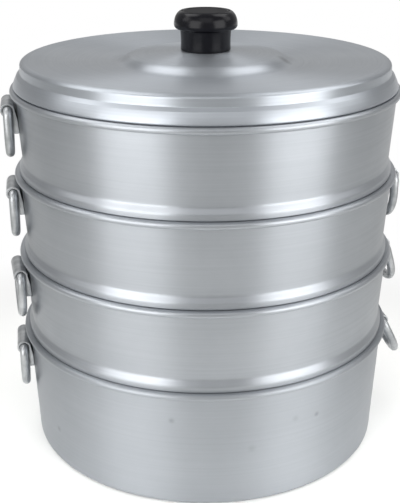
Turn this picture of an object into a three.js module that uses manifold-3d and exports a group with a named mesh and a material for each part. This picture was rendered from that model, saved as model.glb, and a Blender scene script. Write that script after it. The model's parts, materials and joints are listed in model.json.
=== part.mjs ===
// Momo steamer: a water pot, three perforated steaming tiers and a lid, all of spun aluminium, stacked rim on rim.
// Every vessel carries two drop handles in riveted strap brackets, and the lid has a black moulded knob.
// Millimetres, +Z up. The origin is the centre of the pot's underside, and the handles lie along X.

import * as THREE from 'three';
import { mergeVertices } from 'three/addons/utils/BufferGeometryUtils.js';
import Module from 'manifold-3d';

const wasm = await Module();
wasm.setup();

// Driving dimensions

// Spun shells
const sheet = 1.6;                 // thickness of every shell
const rimRadius = 140;             // outside of a wall just under its rim bead
const potHeight = 92;              // table to the top of the pot's rim
const potTaper = 4;                // how much the pot's wall narrows down to its bottom corner
const potCornerRadius = 4;
const tierPitch = 61.5;            // from one rim to the next
const tierTaper = 3;               // how much a tier's wall narrows down to its foot
const tierCount = 3;
const beadHeight = 4.6;            // rolled bead round every rim
const beadOverhang = 3.3;          // how far the bead stands out from the wall
const seatGap = 0.3;               // between a rim and what stands on it

// Spigot, seat flange and foot under a tier; the lid's skirt fits the rim the same way
const spigotClearance = 1.2;       // between a spigot and the rim it drops into
const spigotDepth = 8;
const floorCornerRadius = 3;
const flangeInset = 0.7;           // the flange's edge lies this far inside the wall line of the rim below
const footStepTop = 9.6;           // seat to where the wall starts to step out to the flange
const footStepHeight = 6.6;        // how far down the step runs
const footLeanDegrees = 28;        // lean of the step's middle

// Perforated floor of a tier
const floorHoleRadius = 4.5;
const floorHoleSpacing = 35;       // between rings of holes
const floorHoleRings = 3;
const floorHolesInFirstRing = 6;   // each further ring has as many again

// Lid, heights measured from the rim it stands on
const lidBandOverhang = 0.7;       // the flared lower band, past the wall line of the rim
const lidBandEdge = 2.6;           // height of the curled lower edge
const lidBandHeight = 8.4;
const lidBandSlope = 3;            // how much the band narrows on its way up
const lidStep = 2.5;               // how far the sloping ledge steps in from the band to the side wall
const lidLedgeHeight = 10.8;       // where the ledge meets the side wall
const lidSideHeight = 15.8;        // where the side wall starts to round over
const lidSideTaper = 0.2;
const lidPanelHeight = 18.6;       // top of the rounded shoulder
const lidShoulderWidth = 5.3;
const lidDish = 3.4;               // how far the panel falls from its shoulder to the boss
const lidBossFootRadius = 66;
const lidBossCrestRadius = 53;
const lidBossRise = 5.4;           // from the boss's foot to its crest
const lidBossCrown = 2.4;          // from the crest to the knob's seat
const knobSeatRadius = 19;

// Knob, its insert, screw and washer
const knobHeight = 28.4;
const knobNeckRadius = 18;
const knobNeckFlare = 0.6;
const knobNeckHeight = 15;
const knobHeadRadius = 23.2;
const knobHeadLip = 2.2;           // rounding under the head's widest ring
const knobTopRadius = 14.4;
const knobTopDish = 0.5;
const insertRadius = 5;
const insertHeight = 13;
const screwRadius = 2.5;
const screwReach = 10;             // above the lid's top face
const screwHeadRadius = 4.6;
const screwHeadHeight = 2.6;
const washerRadius = 8;
const washerThickness = 1.2;
const knobPartGap = 0.3;           // between the knob, its insert, the screw, the washer and the lid

// Drop handles
const rodRadius = 3.2;
const tierHandleAxisDrop = 13;     // a tier's rim top to the axis of its handle's bar
const potHandleAxisDrop = 15;
const handleAxisStandoff = 5.2;    // from the wall line of the rim out to that axis
const handleBendRadius = 4;        // centre line of the two top corners
const handleDrop = 34;             // axis to the lowest point of the centre line
const handleEndGap = 0.5;          // between a bracket's end and the bend beside it

// How the photographed steamer stands
const restFlareDegrees = { lower_tier_right: 17, pot_right: 27 };  // handles left swung out; the others hang
const vesselTurnDegrees = { lower_tier: 4 };                       // a tier set down a little turned
const bracketSkewDegrees = { upper_tier_right: 10 };               // riveted on behind its proper place

// Strap brackets and rivets
const strap = 1.6;                 // thickness of the strap
const bracketWidth = 32;
const bracketBoreGap = 0.3;        // round the handle's bar
const bracketTailDrop = 18;        // axis to the tail's lower end
const bracketWallGap = 0.3;        // to the vessel's wall
const rivetDrop = 13.2;            // axis to the rivets
const rivetSpacing = 18;
const rivetRadius = 1.9;
const rivetHeadRadius = 3.4;
const rivetHeadHeight = 1.5;
const rivetHoleGap = 0.3;
const rivetSeatGap = 0.25;         // under each head

// Facets
const shellSegments = 36;
const knobSegments = 24;
const smallSegments = 8;
const rodSides = 8;
const boreSides = 12;
const floorHoleSides = 6;
const cutOverrun = 2;              // how far every cutting tool runs past what it cuts
const weldDistance = sheet / 10000; // corners nearer than this are one corner

// Sizes that follow from those above
const potFootRadius = rimRadius - potTaper;
const tierFootRadius = rimRadius - tierTaper;
const spigotRadius = rimRadius - sheet - spigotClearance;
const flangeRadius = rimRadius - flangeInset;
const footStepFoot = footStepTop - footStepHeight;
const footLean = THREE.MathUtils.degToRad(footLeanDegrees);
const footBendRadius = (footStepHeight * Math.sin(footLean) - (flangeRadius - tierFootRadius) * Math.cos(footLean))
  / (2 * (1 - Math.cos(footLean)));
const wallEndBelowRim = beadHeight;
const handleAxisRadius = rimRadius + handleAxisStandoff;
const handleLegOffset = bracketWidth / 2 + handleEndGap + handleBendRadius;
const bracketBoreRadius = (rodRadius + bracketBoreGap) / Math.cos(Math.PI / boreSides);
const bracketRadius = rodRadius + bracketBoreGap + strap;
const screwHoleRadius = screwRadius + knobPartGap;

// Materials

const paint = (color, roughness, metalness) => new THREE.MeshStandardMaterial({ color, roughness, metalness });
const spunAluminium = paint(0xb4b7ba, 0.38, 0.9);
const castAluminium = paint(0xc0c2c4, 0.45, 0.9);
const rivetAluminium = paint(0xcbccce, 0.4, 0.9);
const blackPhenolic = paint(0x1d1d20, 0.32, 0);
const brass = paint(0xb08d4a, 0.4, 0.9);
const zincSteel = paint(0x9da0a3, 0.4, 0.9);

// Geometry helpers

// A point list along an elliptical arc in a radius and height plane, angles in degrees from the outward direction.
const arc = (radius, height, halfWidth, halfHeight, from, to, steps) => {
  const points = [];
  for (let i = 0; i <= steps; i += 1) {
    const angle = THREE.MathUtils.degToRad(from + ((to - from) * i) / steps);
    points.push([radius + halfWidth * Math.cos(angle), height + halfHeight * Math.sin(angle)]);
  }
  return points;
};

// Merges a geometry's shared corners and drops the triangles that collapse on an axis.
const weld = (geometry) => {
  geometry.deleteAttribute('normal');
  geometry.deleteAttribute('uv');
  const merged = mergeVertices(geometry, weldDistance);
  const kept = [];
  const index = merged.index.array;
  for (let i = 0; i < index.length; i += 3) {
    const [a, b, c] = [index[i], index[i + 1], index[i + 2]];
    if (a !== b && b !== c && c !== a) kept.push(a, b, c);
  }
  merged.setIndex(kept);
  return merged;
};

const toSolid = (geometry) => {
  const welded = weld(geometry);
  return new wasm.Manifold(new wasm.Mesh({
    numProp: 3,
    vertProperties: new Float32Array(welded.attributes.position.array),
    triVerts: new Uint32Array(welded.index.array),
  }));
};

const toGeometry = (solid) => {
  const mesh = solid.getMesh();
  const geometry = new THREE.BufferGeometry();
  geometry.setAttribute('position', new THREE.BufferAttribute(new Float32Array(mesh.vertProperties), 3));
  geometry.setIndex(new THREE.BufferAttribute(new Uint32Array(mesh.triVerts), 1));
  geometry.computeVertexNormals();
  return geometry;
};

// Turns a profile of [radius, height] points, outside first and counterclockwise, about the Z axis.
const turned = (profile, segments) => {
  const points = profile.map(([radius, height]) => new THREE.Vector2(radius, height));
  return new THREE.LatheGeometry(points, segments).rotateX(Math.PI / 2);
};

const finished = (geometry) => {
  const welded = weld(geometry);
  welded.computeVertexNormals();
  return welded;
};

const piece = (name, geometry, material) => {
  const mesh = new THREE.Mesh(geometry, material);
  mesh.name = name;
  return mesh;
};

// Vessels

// A vessel is described by the heights of its wall's ends and its handle axis, and the radius at the wall's foot.
const potWall = {
  foot: potCornerRadius,
  footRadius: potFootRadius,
  rim: potHeight,
  handleAxis: potHeight - potHandleAxisDrop,
};
const tierWall = {
  foot: footStepTop,
  footRadius: tierFootRadius,
  rim: tierPitch - seatGap,
  handleAxis: tierPitch - seatGap - tierHandleAxisDrop,
};

// Outside radius of a vessel's wall at a height.
const wallRadiusAt = (wall, height) => {
  const share = (height - wall.foot) / (wall.rim - wallEndBelowRim - wall.foot);
  return wall.footRadius + (rimRadius - wall.footRadius) * Math.min(share, 1);
};

// The rolled bead, from the wall up, out and over to the inside edge of the rim.
const rimBead = (rim) => {
  const half = beadHeight / 2;
  return [
    ...arc(rimRadius + beadOverhang - half, rim - half, half, half, -90, 90, 4),
    [rimRadius - sheet, rim],
    [rimRadius - sheet, rim - wallEndBelowRim],
  ];
};

const potProfile = () => [
  [0, 0],
  ...arc(potFootRadius - potCornerRadius, potCornerRadius, potCornerRadius, potCornerRadius, -90, 0, 3),
  [rimRadius, potHeight - wallEndBelowRim],
  ...rimBead(potHeight),
  ...arc(potFootRadius - potCornerRadius, potCornerRadius, potCornerRadius - sheet, potCornerRadius - sheet, 0, -90, 3),
  [0, sheet],
];

// Heights are measured from the rim that the tier stands on.
const tierProfile = () => {
  const cornerRadius = spigotRadius - floorCornerRadius;
  const cornerHeight = floorCornerRadius - spigotDepth;
  const innerCorner = floorCornerRadius - sheet;
  const lowBend = flangeRadius - footBendRadius;
  const highBend = tierFootRadius + footBendRadius;
  const [thin, thick] = [footBendRadius - sheet, footBendRadius + sheet];
  return [
    [0, -spigotDepth],
    ...arc(cornerRadius, cornerHeight, floorCornerRadius, floorCornerRadius, -90, 0, 2),
    [spigotRadius, 0],
    [flangeRadius, 0],
    ...arc(lowBend, footStepFoot, footBendRadius, footBendRadius, 0, footLeanDegrees, 1),
    ...arc(highBend, footStepTop, footBendRadius, footBendRadius, 180 + footLeanDegrees, 180, 2),
    [rimRadius, tierWall.rim - wallEndBelowRim],
    ...rimBead(tierWall.rim),
    ...arc(highBend, footStepTop, thick, thick, 180, 180 + footLeanDegrees, 1),
    ...arc(lowBend, footStepFoot, thin, thin, footLeanDegrees, 0, 1),
    [flangeRadius - sheet, sheet],
    [spigotRadius - sheet, sheet],
    [spigotRadius - sheet, cornerHeight],
    [cornerRadius, cornerHeight - innerCorner],
    [0, sheet - spigotDepth],
  ];
};

const upright = (radius, height, sides) => new THREE.CylinderGeometry(radius, radius, height, sides).rotateX(Math.PI / 2);
const crosswise = (radius, length, sides) => new THREE.CylinderGeometry(radius, radius, length, sides).rotateZ(Math.PI / 2);

// The round steam holes in a tier's floor, one in the middle and rings about it.
const floorHoles = () => {
  const places = [[0, 0]];
  for (let ring = 1; ring <= floorHoleRings; ring += 1) {
    const count = floorHolesInFirstRing * ring;
    for (let i = 0; i < count; i += 1) {
      const angle = (2 * Math.PI * i) / count;
      places.push([floorHoleSpacing * ring * Math.cos(angle), floorHoleSpacing * ring * Math.sin(angle)]);
    }
  }
  const length = sheet + 2 * cutOverrun;
  return places.map(([x, y]) => {
    const hole = upright(floorHoleRadius, length, floorHoleSides);
    return toSolid(hole.translate(x, y, sheet / 2 - spigotDepth));
  });
};

// Both sides of a vessel, with the turn that brings the right side there, and the two rivets of each side.
const sidesOf = (name) => ['left', 'right'].map((side) => {
  const skew = bracketSkewDegrees[`${name}_${side}`] ?? 0;
  return { side, turn: THREE.MathUtils.degToRad(skew + (side === 'left' ? 180 : 0)) };
});
const rivetPlaces = [{ place: 'front', offset: -rivetSpacing / 2 }, { place: 'rear', offset: rivetSpacing / 2 }];

// Rivet holes through a wall, on the right side unless turned.
const rivetHoles = (wall, turn) => rivetPlaces.map(({ offset }) => {
  const length = 2 * (handleAxisStandoff + sheet + cutOverrun) + handleAxisStandoff;
  const hole = crosswise(rivetRadius + rivetHoleGap, length, smallSegments);
  hole.translate(rimRadius, offset, wall.handleAxis - rivetDrop);
  return toSolid(hole.rotateZ(turn));
});

const cutAll = (solid, tools) => tools.reduce((left, tool) => left.subtract(tool), solid);

const vesselShell = (name, profile, wall, extraHoles) => {
  const body = toSolid(turned(profile, shellSegments));
  const holes = sidesOf(name).flatMap(({ turn }) => rivetHoles(wall, turn));
  return toGeometry(cutAll(body, [...holes, ...extraHoles]));
};

// Handle brackets, drop handles and rivets, all made for the right side

// The strap wraps the handle's bar and its two layers run down the wall as one tail, cut to the wall's facets.
const bracketGeometry = (wall, turn) => {
  const wallBack = -handleAxisStandoff - strap;
  const tailFace = 2 * strap + bracketWallGap - handleAxisStandoff;
  const outline = new THREE.Shape();
  outline.moveTo(wallBack, -bracketTailDrop);
  outline.lineTo(tailFace, -bracketTailDrop);
  const start = -Math.acos(tailFace / bracketRadius);
  outline.absarc(0, 0, bracketRadius, start, (Math.PI * 3) / 4, false);
  outline.lineTo(wallBack, bracketRadius * Math.SQRT1_2);
  outline.closePath();
  const bore = new THREE.Path();
  bore.absarc(0, 0, bracketBoreRadius, 0, 2 * Math.PI, true);
  outline.holes.push(bore);
  const strapBody = new THREE.ExtrudeGeometry(outline, {
    depth: bracketWidth, bevelEnabled: false, curveSegments: boreSides / 2,
  });
  strapBody.rotateX(Math.PI / 2).translate(handleAxisRadius, bracketWidth / 2, wall.handleAxis);
  const wallCut = turned([
    [0, wall.foot],
    [wall.footRadius + bracketWallGap, wall.foot],
    [rimRadius + bracketWallGap, wall.rim - wallEndBelowRim],
    [rimRadius + bracketWallGap, wall.rim],
    [0, wall.rim],
  ], shellSegments).rotateZ(-turn);
  return toGeometry(cutAll(toSolid(strapBody), [toSolid(wallCut), ...rivetHoles(wall, 0)]));
};

// Stations round the handle's loop: its centre line in the plane across the vessel, and the way it heads.
const handleStations = () => {
  const stations = [];
  const bend = (acrossCentre, heightCentre, radius, from, to, steps) => {
    for (let i = 0; i <= steps; i += 1) {
      const angle = THREE.MathUtils.degToRad(from + ((to - from) * i) / steps);
      stations.push({
        across: acrossCentre + radius * Math.cos(angle),
        height: heightCentre + radius * Math.sin(angle),
        outward: angle,
      });
    }
  };
  const cornerCentre = handleLegOffset - handleBendRadius;
  const bowCentre = handleLegOffset - handleDrop;
  bend(cornerCentre, -handleBendRadius, handleBendRadius, 90, 0, 2);
  bend(0, bowCentre, handleLegOffset, 0, -180, 8);
  bend(-cornerCentre, -handleBendRadius, handleBendRadius, 180, 90, 2);
  return stations;
};

// A closed rod loop: a round section at every station, each joined to the next and the last to the first.
const handleGeometry = () => {
  const stations = handleStations();
  const corners = [];
  stations.forEach(({ across, height, outward }) => {
    for (let side = 0; side < rodSides; side += 1) {
      const angle = (2 * Math.PI * (side + 0.5)) / rodSides;
      const reach = rodRadius * Math.cos(angle);
      corners.push(
        rodRadius * Math.sin(angle),
        across + reach * Math.cos(outward),
        height + reach * Math.sin(outward),
      );
    }
  });
  const faces = [];
  stations.forEach((_, station) => {
    const next = (station + 1) % stations.length;
    for (let side = 0; side < rodSides; side += 1) {
      const after = (side + 1) % rodSides;
      const [a, b] = [station * rodSides + side, station * rodSides + after];
      const [c, d] = [next * rodSides + side, next * rodSides + after];
      faces.push(a, b, c, b, d, c);
    }
  });
  const geometry = new THREE.BufferGeometry();
  geometry.setAttribute('position', new THREE.Float32BufferAttribute(corners, 3));
  geometry.setIndex(faces);
  geometry.computeVertexNormals();
  return geometry;
};

// A rivet along X, from its flat head inside the vessel to its domed head on the bracket's tail.
const rivetGeometry = (wall, offset) => {
  const height = wall.handleAxis - rivetDrop;
  const innerRadius = (wallRadiusAt(wall, height - rivetHeadRadius) - sheet) * Math.cos(Math.PI / shellSegments);
  const reach = Math.abs(offset) + rivetHeadRadius;
  const insideFace = Math.sqrt(innerRadius ** 2 - reach ** 2) - rivetSeatGap;
  const outsideFace = rimRadius + bracketWallGap + 2 * strap + rivetSeatGap;
  const profile = [
    [0, insideFace - rivetHeadHeight / 2],
    [rivetHeadRadius, insideFace - rivetHeadHeight / 2],
    [rivetHeadRadius, insideFace],
    [rivetRadius, insideFace],
    [rivetRadius, outsideFace],
    [rivetHeadRadius, outsideFace],
    [rivetHeadRadius * Math.SQRT1_2, outsideFace + rivetHeadHeight * Math.SQRT1_2],
    [0, outsideFace + rivetHeadHeight],
  ];
  return finished(turned(profile, smallSegments).rotateY(Math.PI / 2).translate(0, offset, height));
};

// Lid

// The top skin from the knob's seat out to the shoulder, lowered by a skin thickness for the underside.
const lidTop = (lower, steps) => {
  const foot = lidPanelHeight - lidDish;
  const crest = foot + lidBossRise;
  const points = [
    [screwHoleRadius, crest + lidBossCrown - lower],
    [knobSeatRadius, crest + lidBossCrown - lower],
  ];
  for (let i = 0; i <= steps; i += 1) {
    const share = i / steps;
    const radius = THREE.MathUtils.lerp(lidBossCrestRadius, lidBossFootRadius, share);
    points.push([radius, foot + (lidBossRise * (1 + Math.cos(Math.PI * share))) / 2 - lower]);
  }
  return points;
};

const lidProfile = () => {
  const bandRadius = rimRadius + lidBandOverhang;
  const bandTopRadius = bandRadius - lidBandSlope;
  const sideRadius = bandTopRadius - lidStep - lidSideTaper;
  const shoulderRadius = sideRadius - lidShoulderWidth;
  const shoulderRise = lidPanelHeight - lidSideHeight;
  const curl = lidBandEdge / 2;
  const outside = [
    ...arc(bandRadius - curl, curl, curl, curl, -90, 0, 2),
    [bandTopRadius, lidBandHeight],
    [bandTopRadius - lidStep, lidLedgeHeight],
    ...arc(shoulderRadius, lidSideHeight, lidShoulderWidth, shoulderRise, 0, 90, 4),
  ];
  const inside = [
    ...arc(shoulderRadius, lidSideHeight, lidShoulderWidth - sheet, shoulderRise - sheet, 90, 0, 3),
    [bandTopRadius - lidStep - sheet, lidLedgeHeight - sheet / 2],
    [bandTopRadius - sheet, lidBandHeight - sheet / 2],
    [bandRadius - sheet - curl / 2, lidBandEdge],
    [bandRadius - sheet - curl, sheet],
    [spigotRadius - sheet, sheet],
    [spigotRadius - sheet, -spigotDepth],
  ];
  return [
    [spigotRadius, -spigotDepth],
    [spigotRadius, 0],
    ...outside,
    ...lidTop(0, 4).reverse(),
    ...lidTop(sheet, 2),
    ...inside,
    [spigotRadius, -spigotDepth],
  ];
};

// Height of the knob's seat above the rim that the lid stands on.
const knobSeat = lidPanelHeight - lidDish + lidBossRise + lidBossCrown;

// Knob, with its socket for the insert, heights measured from its own base
const knobProfile = () => {
  const neckTop = knobNeckRadius + knobNeckFlare;
  const headRise = knobHeight - knobNeckHeight - knobHeadLip;
  return [
    [0, insertHeight + knobPartGap],
    [insertRadius + knobPartGap, insertHeight + knobPartGap],
    [insertRadius + knobPartGap, 0],
    [knobNeckRadius, 0],
    [neckTop, knobNeckHeight],
    [knobHeadRadius - knobHeadLip, knobNeckHeight],
    ...arc(knobTopRadius, knobNeckHeight + knobHeadLip, knobHeadRadius - knobTopRadius, headRise, 0, 90, 5),
    [knobTopRadius - knobTopDish * 2, knobHeight - knobTopDish],
    [0, knobHeight - knobTopDish],
  ];
};

const insertProfile = () => [
  [screwHoleRadius, 0],
  [insertRadius, 0],
  [insertRadius, insertHeight],
  [screwHoleRadius, insertHeight],
  [screwHoleRadius, 0],
];

const washerProfile = () => [
  [screwHoleRadius, -washerThickness],
  [washerRadius, -washerThickness],
  [washerRadius, 0],
  [screwHoleRadius, 0],
  [screwHoleRadius, -washerThickness],
];

const screwProfile = (headTop) => [
  [0, headTop - screwHeadHeight],
  [screwHeadRadius * Math.SQRT1_2, headTop - screwHeadHeight],
  [screwHeadRadius, headTop - screwHeadHeight / 2],
  [screwHeadRadius, headTop],
  [screwRadius, headTop],
  [screwRadius, screwReach],
  [0, screwReach],
];

// Assembly

// Brackets, handles and rivets of one vessel, on both sides.
const addHandles = (group, name, wall) => {
  sidesOf(name).forEach(({ side, turn }) => {
    const set = new THREE.Group();
    set.rotation.z = turn;
    set.add(piece(`${name}_${side}_bracket`, bracketGeometry(wall, turn), castAluminium));
    rivetPlaces.forEach(({ place, offset }) => {
      set.add(piece(`${name}_${side}_${place}_rivet`, rivetGeometry(wall, offset), rivetAluminium));
    });
    const handle = piece(`${name}_${side}_handle`, handleGeometry(), castAluminium);
    handle.position.set(handleAxisRadius, 0, wall.handleAxis);
    handle.rotation.y = -THREE.MathUtils.degToRad(restFlareDegrees[`${name}_${side}`] ?? 0);
    set.add(handle);
    group.add(set);
  });
};

const steamer = new THREE.Group();

const pot = new THREE.Group();
pot.add(piece('pot_shell', vesselShell('pot', potProfile(), potWall, []), spunAluminium));
addHandles(pot, 'pot', potWall);
steamer.add(pot);

const tierNames = ['lower_tier', 'middle_tier', 'upper_tier'].slice(0, tierCount);
tierNames.forEach((name, level) => {
  const tier = new THREE.Group();
  tier.position.z = potHeight + level * tierPitch + seatGap;
  tier.rotation.z = THREE.MathUtils.degToRad(vesselTurnDegrees[name] ?? 0);
  tier.add(piece(`${name}_shell`, vesselShell(name, tierProfile(), tierWall, floorHoles()), spunAluminium));
  addHandles(tier, name, tierWall);
  steamer.add(tier);
});

const lid = new THREE.Group();
lid.position.z = potHeight + tierNames.length * tierPitch + seatGap;
lid.add(piece('lid_shell', finished(turned(lidProfile(), shellSegments)), spunAluminium));
steamer.add(lid);

const knob = new THREE.Group();
knob.position.z = knobSeat + knobPartGap;
knob.add(piece('lid_knob', finished(turned(knobProfile(), knobSegments)), blackPhenolic));
knob.add(piece('knob_insert', finished(turned(insertProfile(), smallSegments)), brass));
const underLid = -sheet - 2 * knobPartGap;
const washer = piece('knob_washer', finished(turned(washerProfile(), smallSegments)), zincSteel);
washer.position.z = underLid;
knob.add(washer);
const screwHeadTop = underLid - washerThickness - knobPartGap;
knob.add(piece('knob_screw', finished(turned(screwProfile(screwHeadTop), smallSegments)), zincSteel));
lid.add(knob);

export default steamer;
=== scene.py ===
import json
import logging
import math
from collections.abc import Sequence
from dataclasses import dataclass
from enum import Enum
from typing import ClassVar

import bmesh
import bpy
from mathutils import Matrix, Vector


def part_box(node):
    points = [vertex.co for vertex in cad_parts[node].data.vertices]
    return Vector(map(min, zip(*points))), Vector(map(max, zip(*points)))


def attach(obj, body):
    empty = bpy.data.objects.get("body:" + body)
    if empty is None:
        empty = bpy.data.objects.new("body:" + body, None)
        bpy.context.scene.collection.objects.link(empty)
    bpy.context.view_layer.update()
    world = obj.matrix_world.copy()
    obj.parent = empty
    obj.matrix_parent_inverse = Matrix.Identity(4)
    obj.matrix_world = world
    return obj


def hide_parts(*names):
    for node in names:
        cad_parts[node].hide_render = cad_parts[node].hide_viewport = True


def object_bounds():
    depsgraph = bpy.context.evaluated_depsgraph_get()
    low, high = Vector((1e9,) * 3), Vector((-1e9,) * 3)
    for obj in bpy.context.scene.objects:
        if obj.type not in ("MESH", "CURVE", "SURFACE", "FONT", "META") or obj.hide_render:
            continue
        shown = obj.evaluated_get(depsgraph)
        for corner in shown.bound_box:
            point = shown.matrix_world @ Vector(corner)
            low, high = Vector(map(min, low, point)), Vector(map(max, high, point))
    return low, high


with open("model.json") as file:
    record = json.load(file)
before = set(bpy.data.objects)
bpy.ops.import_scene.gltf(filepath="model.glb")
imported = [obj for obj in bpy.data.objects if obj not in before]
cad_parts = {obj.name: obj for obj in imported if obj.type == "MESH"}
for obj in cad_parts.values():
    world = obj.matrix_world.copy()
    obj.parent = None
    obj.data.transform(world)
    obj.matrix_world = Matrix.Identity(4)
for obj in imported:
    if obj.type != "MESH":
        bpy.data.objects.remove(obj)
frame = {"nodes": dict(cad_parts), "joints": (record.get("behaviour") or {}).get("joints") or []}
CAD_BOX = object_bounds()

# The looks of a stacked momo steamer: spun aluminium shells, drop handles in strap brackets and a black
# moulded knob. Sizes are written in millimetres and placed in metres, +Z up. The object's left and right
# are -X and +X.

LOG = logging.getLogger("steamer")

Point = tuple[float, float]
Outline = list[Point]
Rows = tuple[tuple[float, ...], ...]

MM = 0.001
AXIS_LIMIT = 0.01          # mm; an outline point nearer to the axis than this lies on it
WELD = 1e-7                # m; vertices closer than this are one vertex
NEAR = 1.0                 # mm; how near its end or rim a point of the frame's screw still belongs to it
FILLET_STEP = 12.0         # degrees; largest turn between two points of a fillet
SHARP_TURN = 32.0          # degrees; an edge that turns more than this is a sharp one

# Facets round the turned pieces
SHELL_FACETS = 240
KNOB_FACETS = 128
SCREW_FACETS = 64
INSERT_FACETS = 48
ROD_FACETS = 28
HOLE_FACETS = 32
TABLE_FACETS = 96

# Sockets of a colour Mix node, which has several that share a name, and inputs of a number Mix node
MIX_FACTOR, MIX_FIRST, MIX_SECOND, MIX_COLOUR = 0, 6, 7, 2
NUMBER_FIRST, NUMBER_SECOND = 2, 3


class Vessel(Enum):
    """The pot and the three tiers, by the name of their body."""

    POT = "pot"
    LOWER_TIER = "lower_tier"
    MIDDLE_TIER = "middle_tier"
    UPPER_TIER = "upper_tier"


class Slot(Enum):
    """The record's material slots."""

    SPUN = "spun_aluminium"
    HANDLE = "handle_aluminium"
    RIVET = "rivet_aluminium"
    PHENOLIC = "black_phenolic"
    BRASS = "brass_insert"
    ZINC = "zinc_steel"


# Outlines of turned pieces


@dataclass(frozen=True)
class Corner:
    """A corner of an outline, rounded by a fillet.

    Attributes:
        radius: distance from the axis, mm.
        height: height, mm.
        fillet: radius of the rounding, mm, or zero for a sharp corner.
    """

    radius: float
    height: float
    fillet: float = 0.0


def arc(centre: Point, half: Point, start: float, end: float, steps: int) -> Outline:
    """Points along an elliptical arc.

    Args:
        centre: radius and height of the arc's centre, mm.
        half: half width and half height, mm.
        start: first angle in degrees from the outward direction.
        end: last angle in degrees.
        steps: how many chords it has.

    Returns:
        The points from start to end.
    """
    points = []
    for step in range(steps + 1):
        angle = math.radians(start + (end - start) * step / steps)
        points.append((centre[0] + half[0] * math.cos(angle), centre[1] + half[1] * math.sin(angle)))
    return points


def rounded(corners: Sequence[Corner]) -> Outline:
    """Rounds the corners of an open chain; its two ends stay sharp.

    Args:
        corners: the chain's corners in order.

    Returns:
        The points of the rounded chain.
    """
    points: Outline = []
    for index, corner in enumerate(corners):
        here = Vector((corner.radius, corner.height))
        if corner.fillet <= 0 or index in (0, len(corners) - 1):
            points.append((here.x, here.y))
            continue
        before, after = corners[index - 1], corners[index + 1]
        back = (Vector((before.radius, before.height)) - here).normalized()
        ahead = (Vector((after.radius, after.height)) - here).normalized()
        half_angle = back.angle(ahead) / 2
        setback = corner.fillet / math.tan(half_angle)
        centre = here + (back + ahead).normalized() * corner.fillet / math.sin(half_angle)
        first = here + back * setback - centre
        turn = first.angle_signed(here + ahead * setback - centre)
        steps = max(2, math.ceil(math.degrees(abs(turn)) / FILLET_STEP))
        for step in range(steps + 1):
            spoke = Matrix.Rotation(-turn * step / steps, 2) @ first
            points.append((centre.x + spoke.x, centre.y + spoke.y))
    return points


def refined(outline: Sequence[Point], longest: float) -> Outline:
    """Splits long stretches of an outline, so that its facets stay short.

    Args:
        outline: points of the outline, mm.
        longest: longest stretch that is left whole, mm.

    Returns:
        The outline with points added between its own.
    """
    points = [outline[0]]
    for here, there in zip(outline, outline[1:]):
        parts = max(1, math.ceil(math.dist(here, there) / longest))
        for part in range(1, parts + 1):
            share = part / parts
            points.append((here[0] + (there[0] - here[0]) * share, here[1] + (there[1] - here[1]) * share))
    return points


# Mesh making


def mesh_object(name: str, vertices: Sequence[Sequence[float]],
                faces: Sequence[Sequence[int]]) -> bpy.types.Object:
    """Makes an object at the origin from vertices in metres.

    Args:
        name: name of the object and its mesh.
        vertices: places of the vertices.
        faces: vertex numbers of each face.

    Returns:
        The object, linked to the scene.
    """
    mesh = bpy.data.meshes.new(name)
    mesh.from_pydata([tuple(vertex) for vertex in vertices], [], [tuple(face) for face in faces])
    made = bpy.data.objects.new(name, mesh)
    bpy.context.scene.collection.objects.link(made)
    return made


def close_up(piece: bpy.types.Object) -> bpy.types.Object:
    """Merges doubles, turns the faces outwards and shades the piece smooth between its sharp edges.

    Args:
        piece: a closed mesh whose faces all turn the same way.

    Returns:
        The same object.
    """
    work = bmesh.new()
    work.from_mesh(piece.data)
    bmesh.ops.remove_doubles(work, verts=work.verts, dist=WELD)
    if work.calc_volume(signed=True) < 0:
        bmesh.ops.reverse_faces(work, faces=work.faces)
    limit = math.radians(SHARP_TURN)
    for face in work.faces:
        face.smooth = True
    for edge in work.edges:
        edge.smooth = len(edge.link_faces) == 2 and edge.calc_face_angle(0.0) < limit
    work.to_mesh(piece.data)
    work.free()
    return piece


def lathe(name: str, outline: Sequence[Point], facets: int = SHELL_FACETS) -> bpy.types.Object:
    """Turns an outline about Z into a closed piece.

    Args:
        name: name of the piece.
        outline: radius and height of each point, mm; it ends on the axis or closes on itself.
        facets: how many it has round the axis.

    Returns:
        The closed piece.
    """
    vertices: list[tuple[float, float, float]] = []
    rings: list[list[int]] = []
    for radius, height in outline:
        count = 1 if radius < AXIS_LIMIT else facets
        rings.append(list(range(len(vertices), len(vertices) + count)))
        for index in range(count):
            angle = 2 * math.pi * index / facets
            reach = radius * MM if count > 1 else 0.0
            vertices.append((reach * math.cos(angle), reach * math.sin(angle), height * MM))
    faces = []
    for here, there in zip(rings, rings[1:] + rings[:1]):
        if len(here) == 1 and len(there) == 1:
            continue
        for index in range(facets):
            after = (index + 1) % facets
            if len(here) == 1:
                faces.append((here[0], there[after], there[index]))
            elif len(there) == 1:
                faces.append((here[index], here[after], there[0]))
            else:
                faces.append((here[index], here[after], there[after], there[index]))
    return close_up(mesh_object(name, vertices, faces))


def settle(piece: bpy.types.Object) -> bpy.types.Object:
    """Turns what the modifiers make into a plain mesh and takes the modifiers off.

    Args:
        piece: the object with the modifiers.

    Returns:
        The same object.
    """
    graph = bpy.context.evaluated_depsgraph_get()
    made = bpy.data.meshes.new_from_object(piece.evaluated_get(graph), preserve_all_data_layers=True,
                                           depsgraph=graph)
    piece.modifiers.clear()
    old = piece.data
    piece.data = made
    made.name = piece.name
    bpy.data.meshes.remove(old)
    return piece


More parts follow.
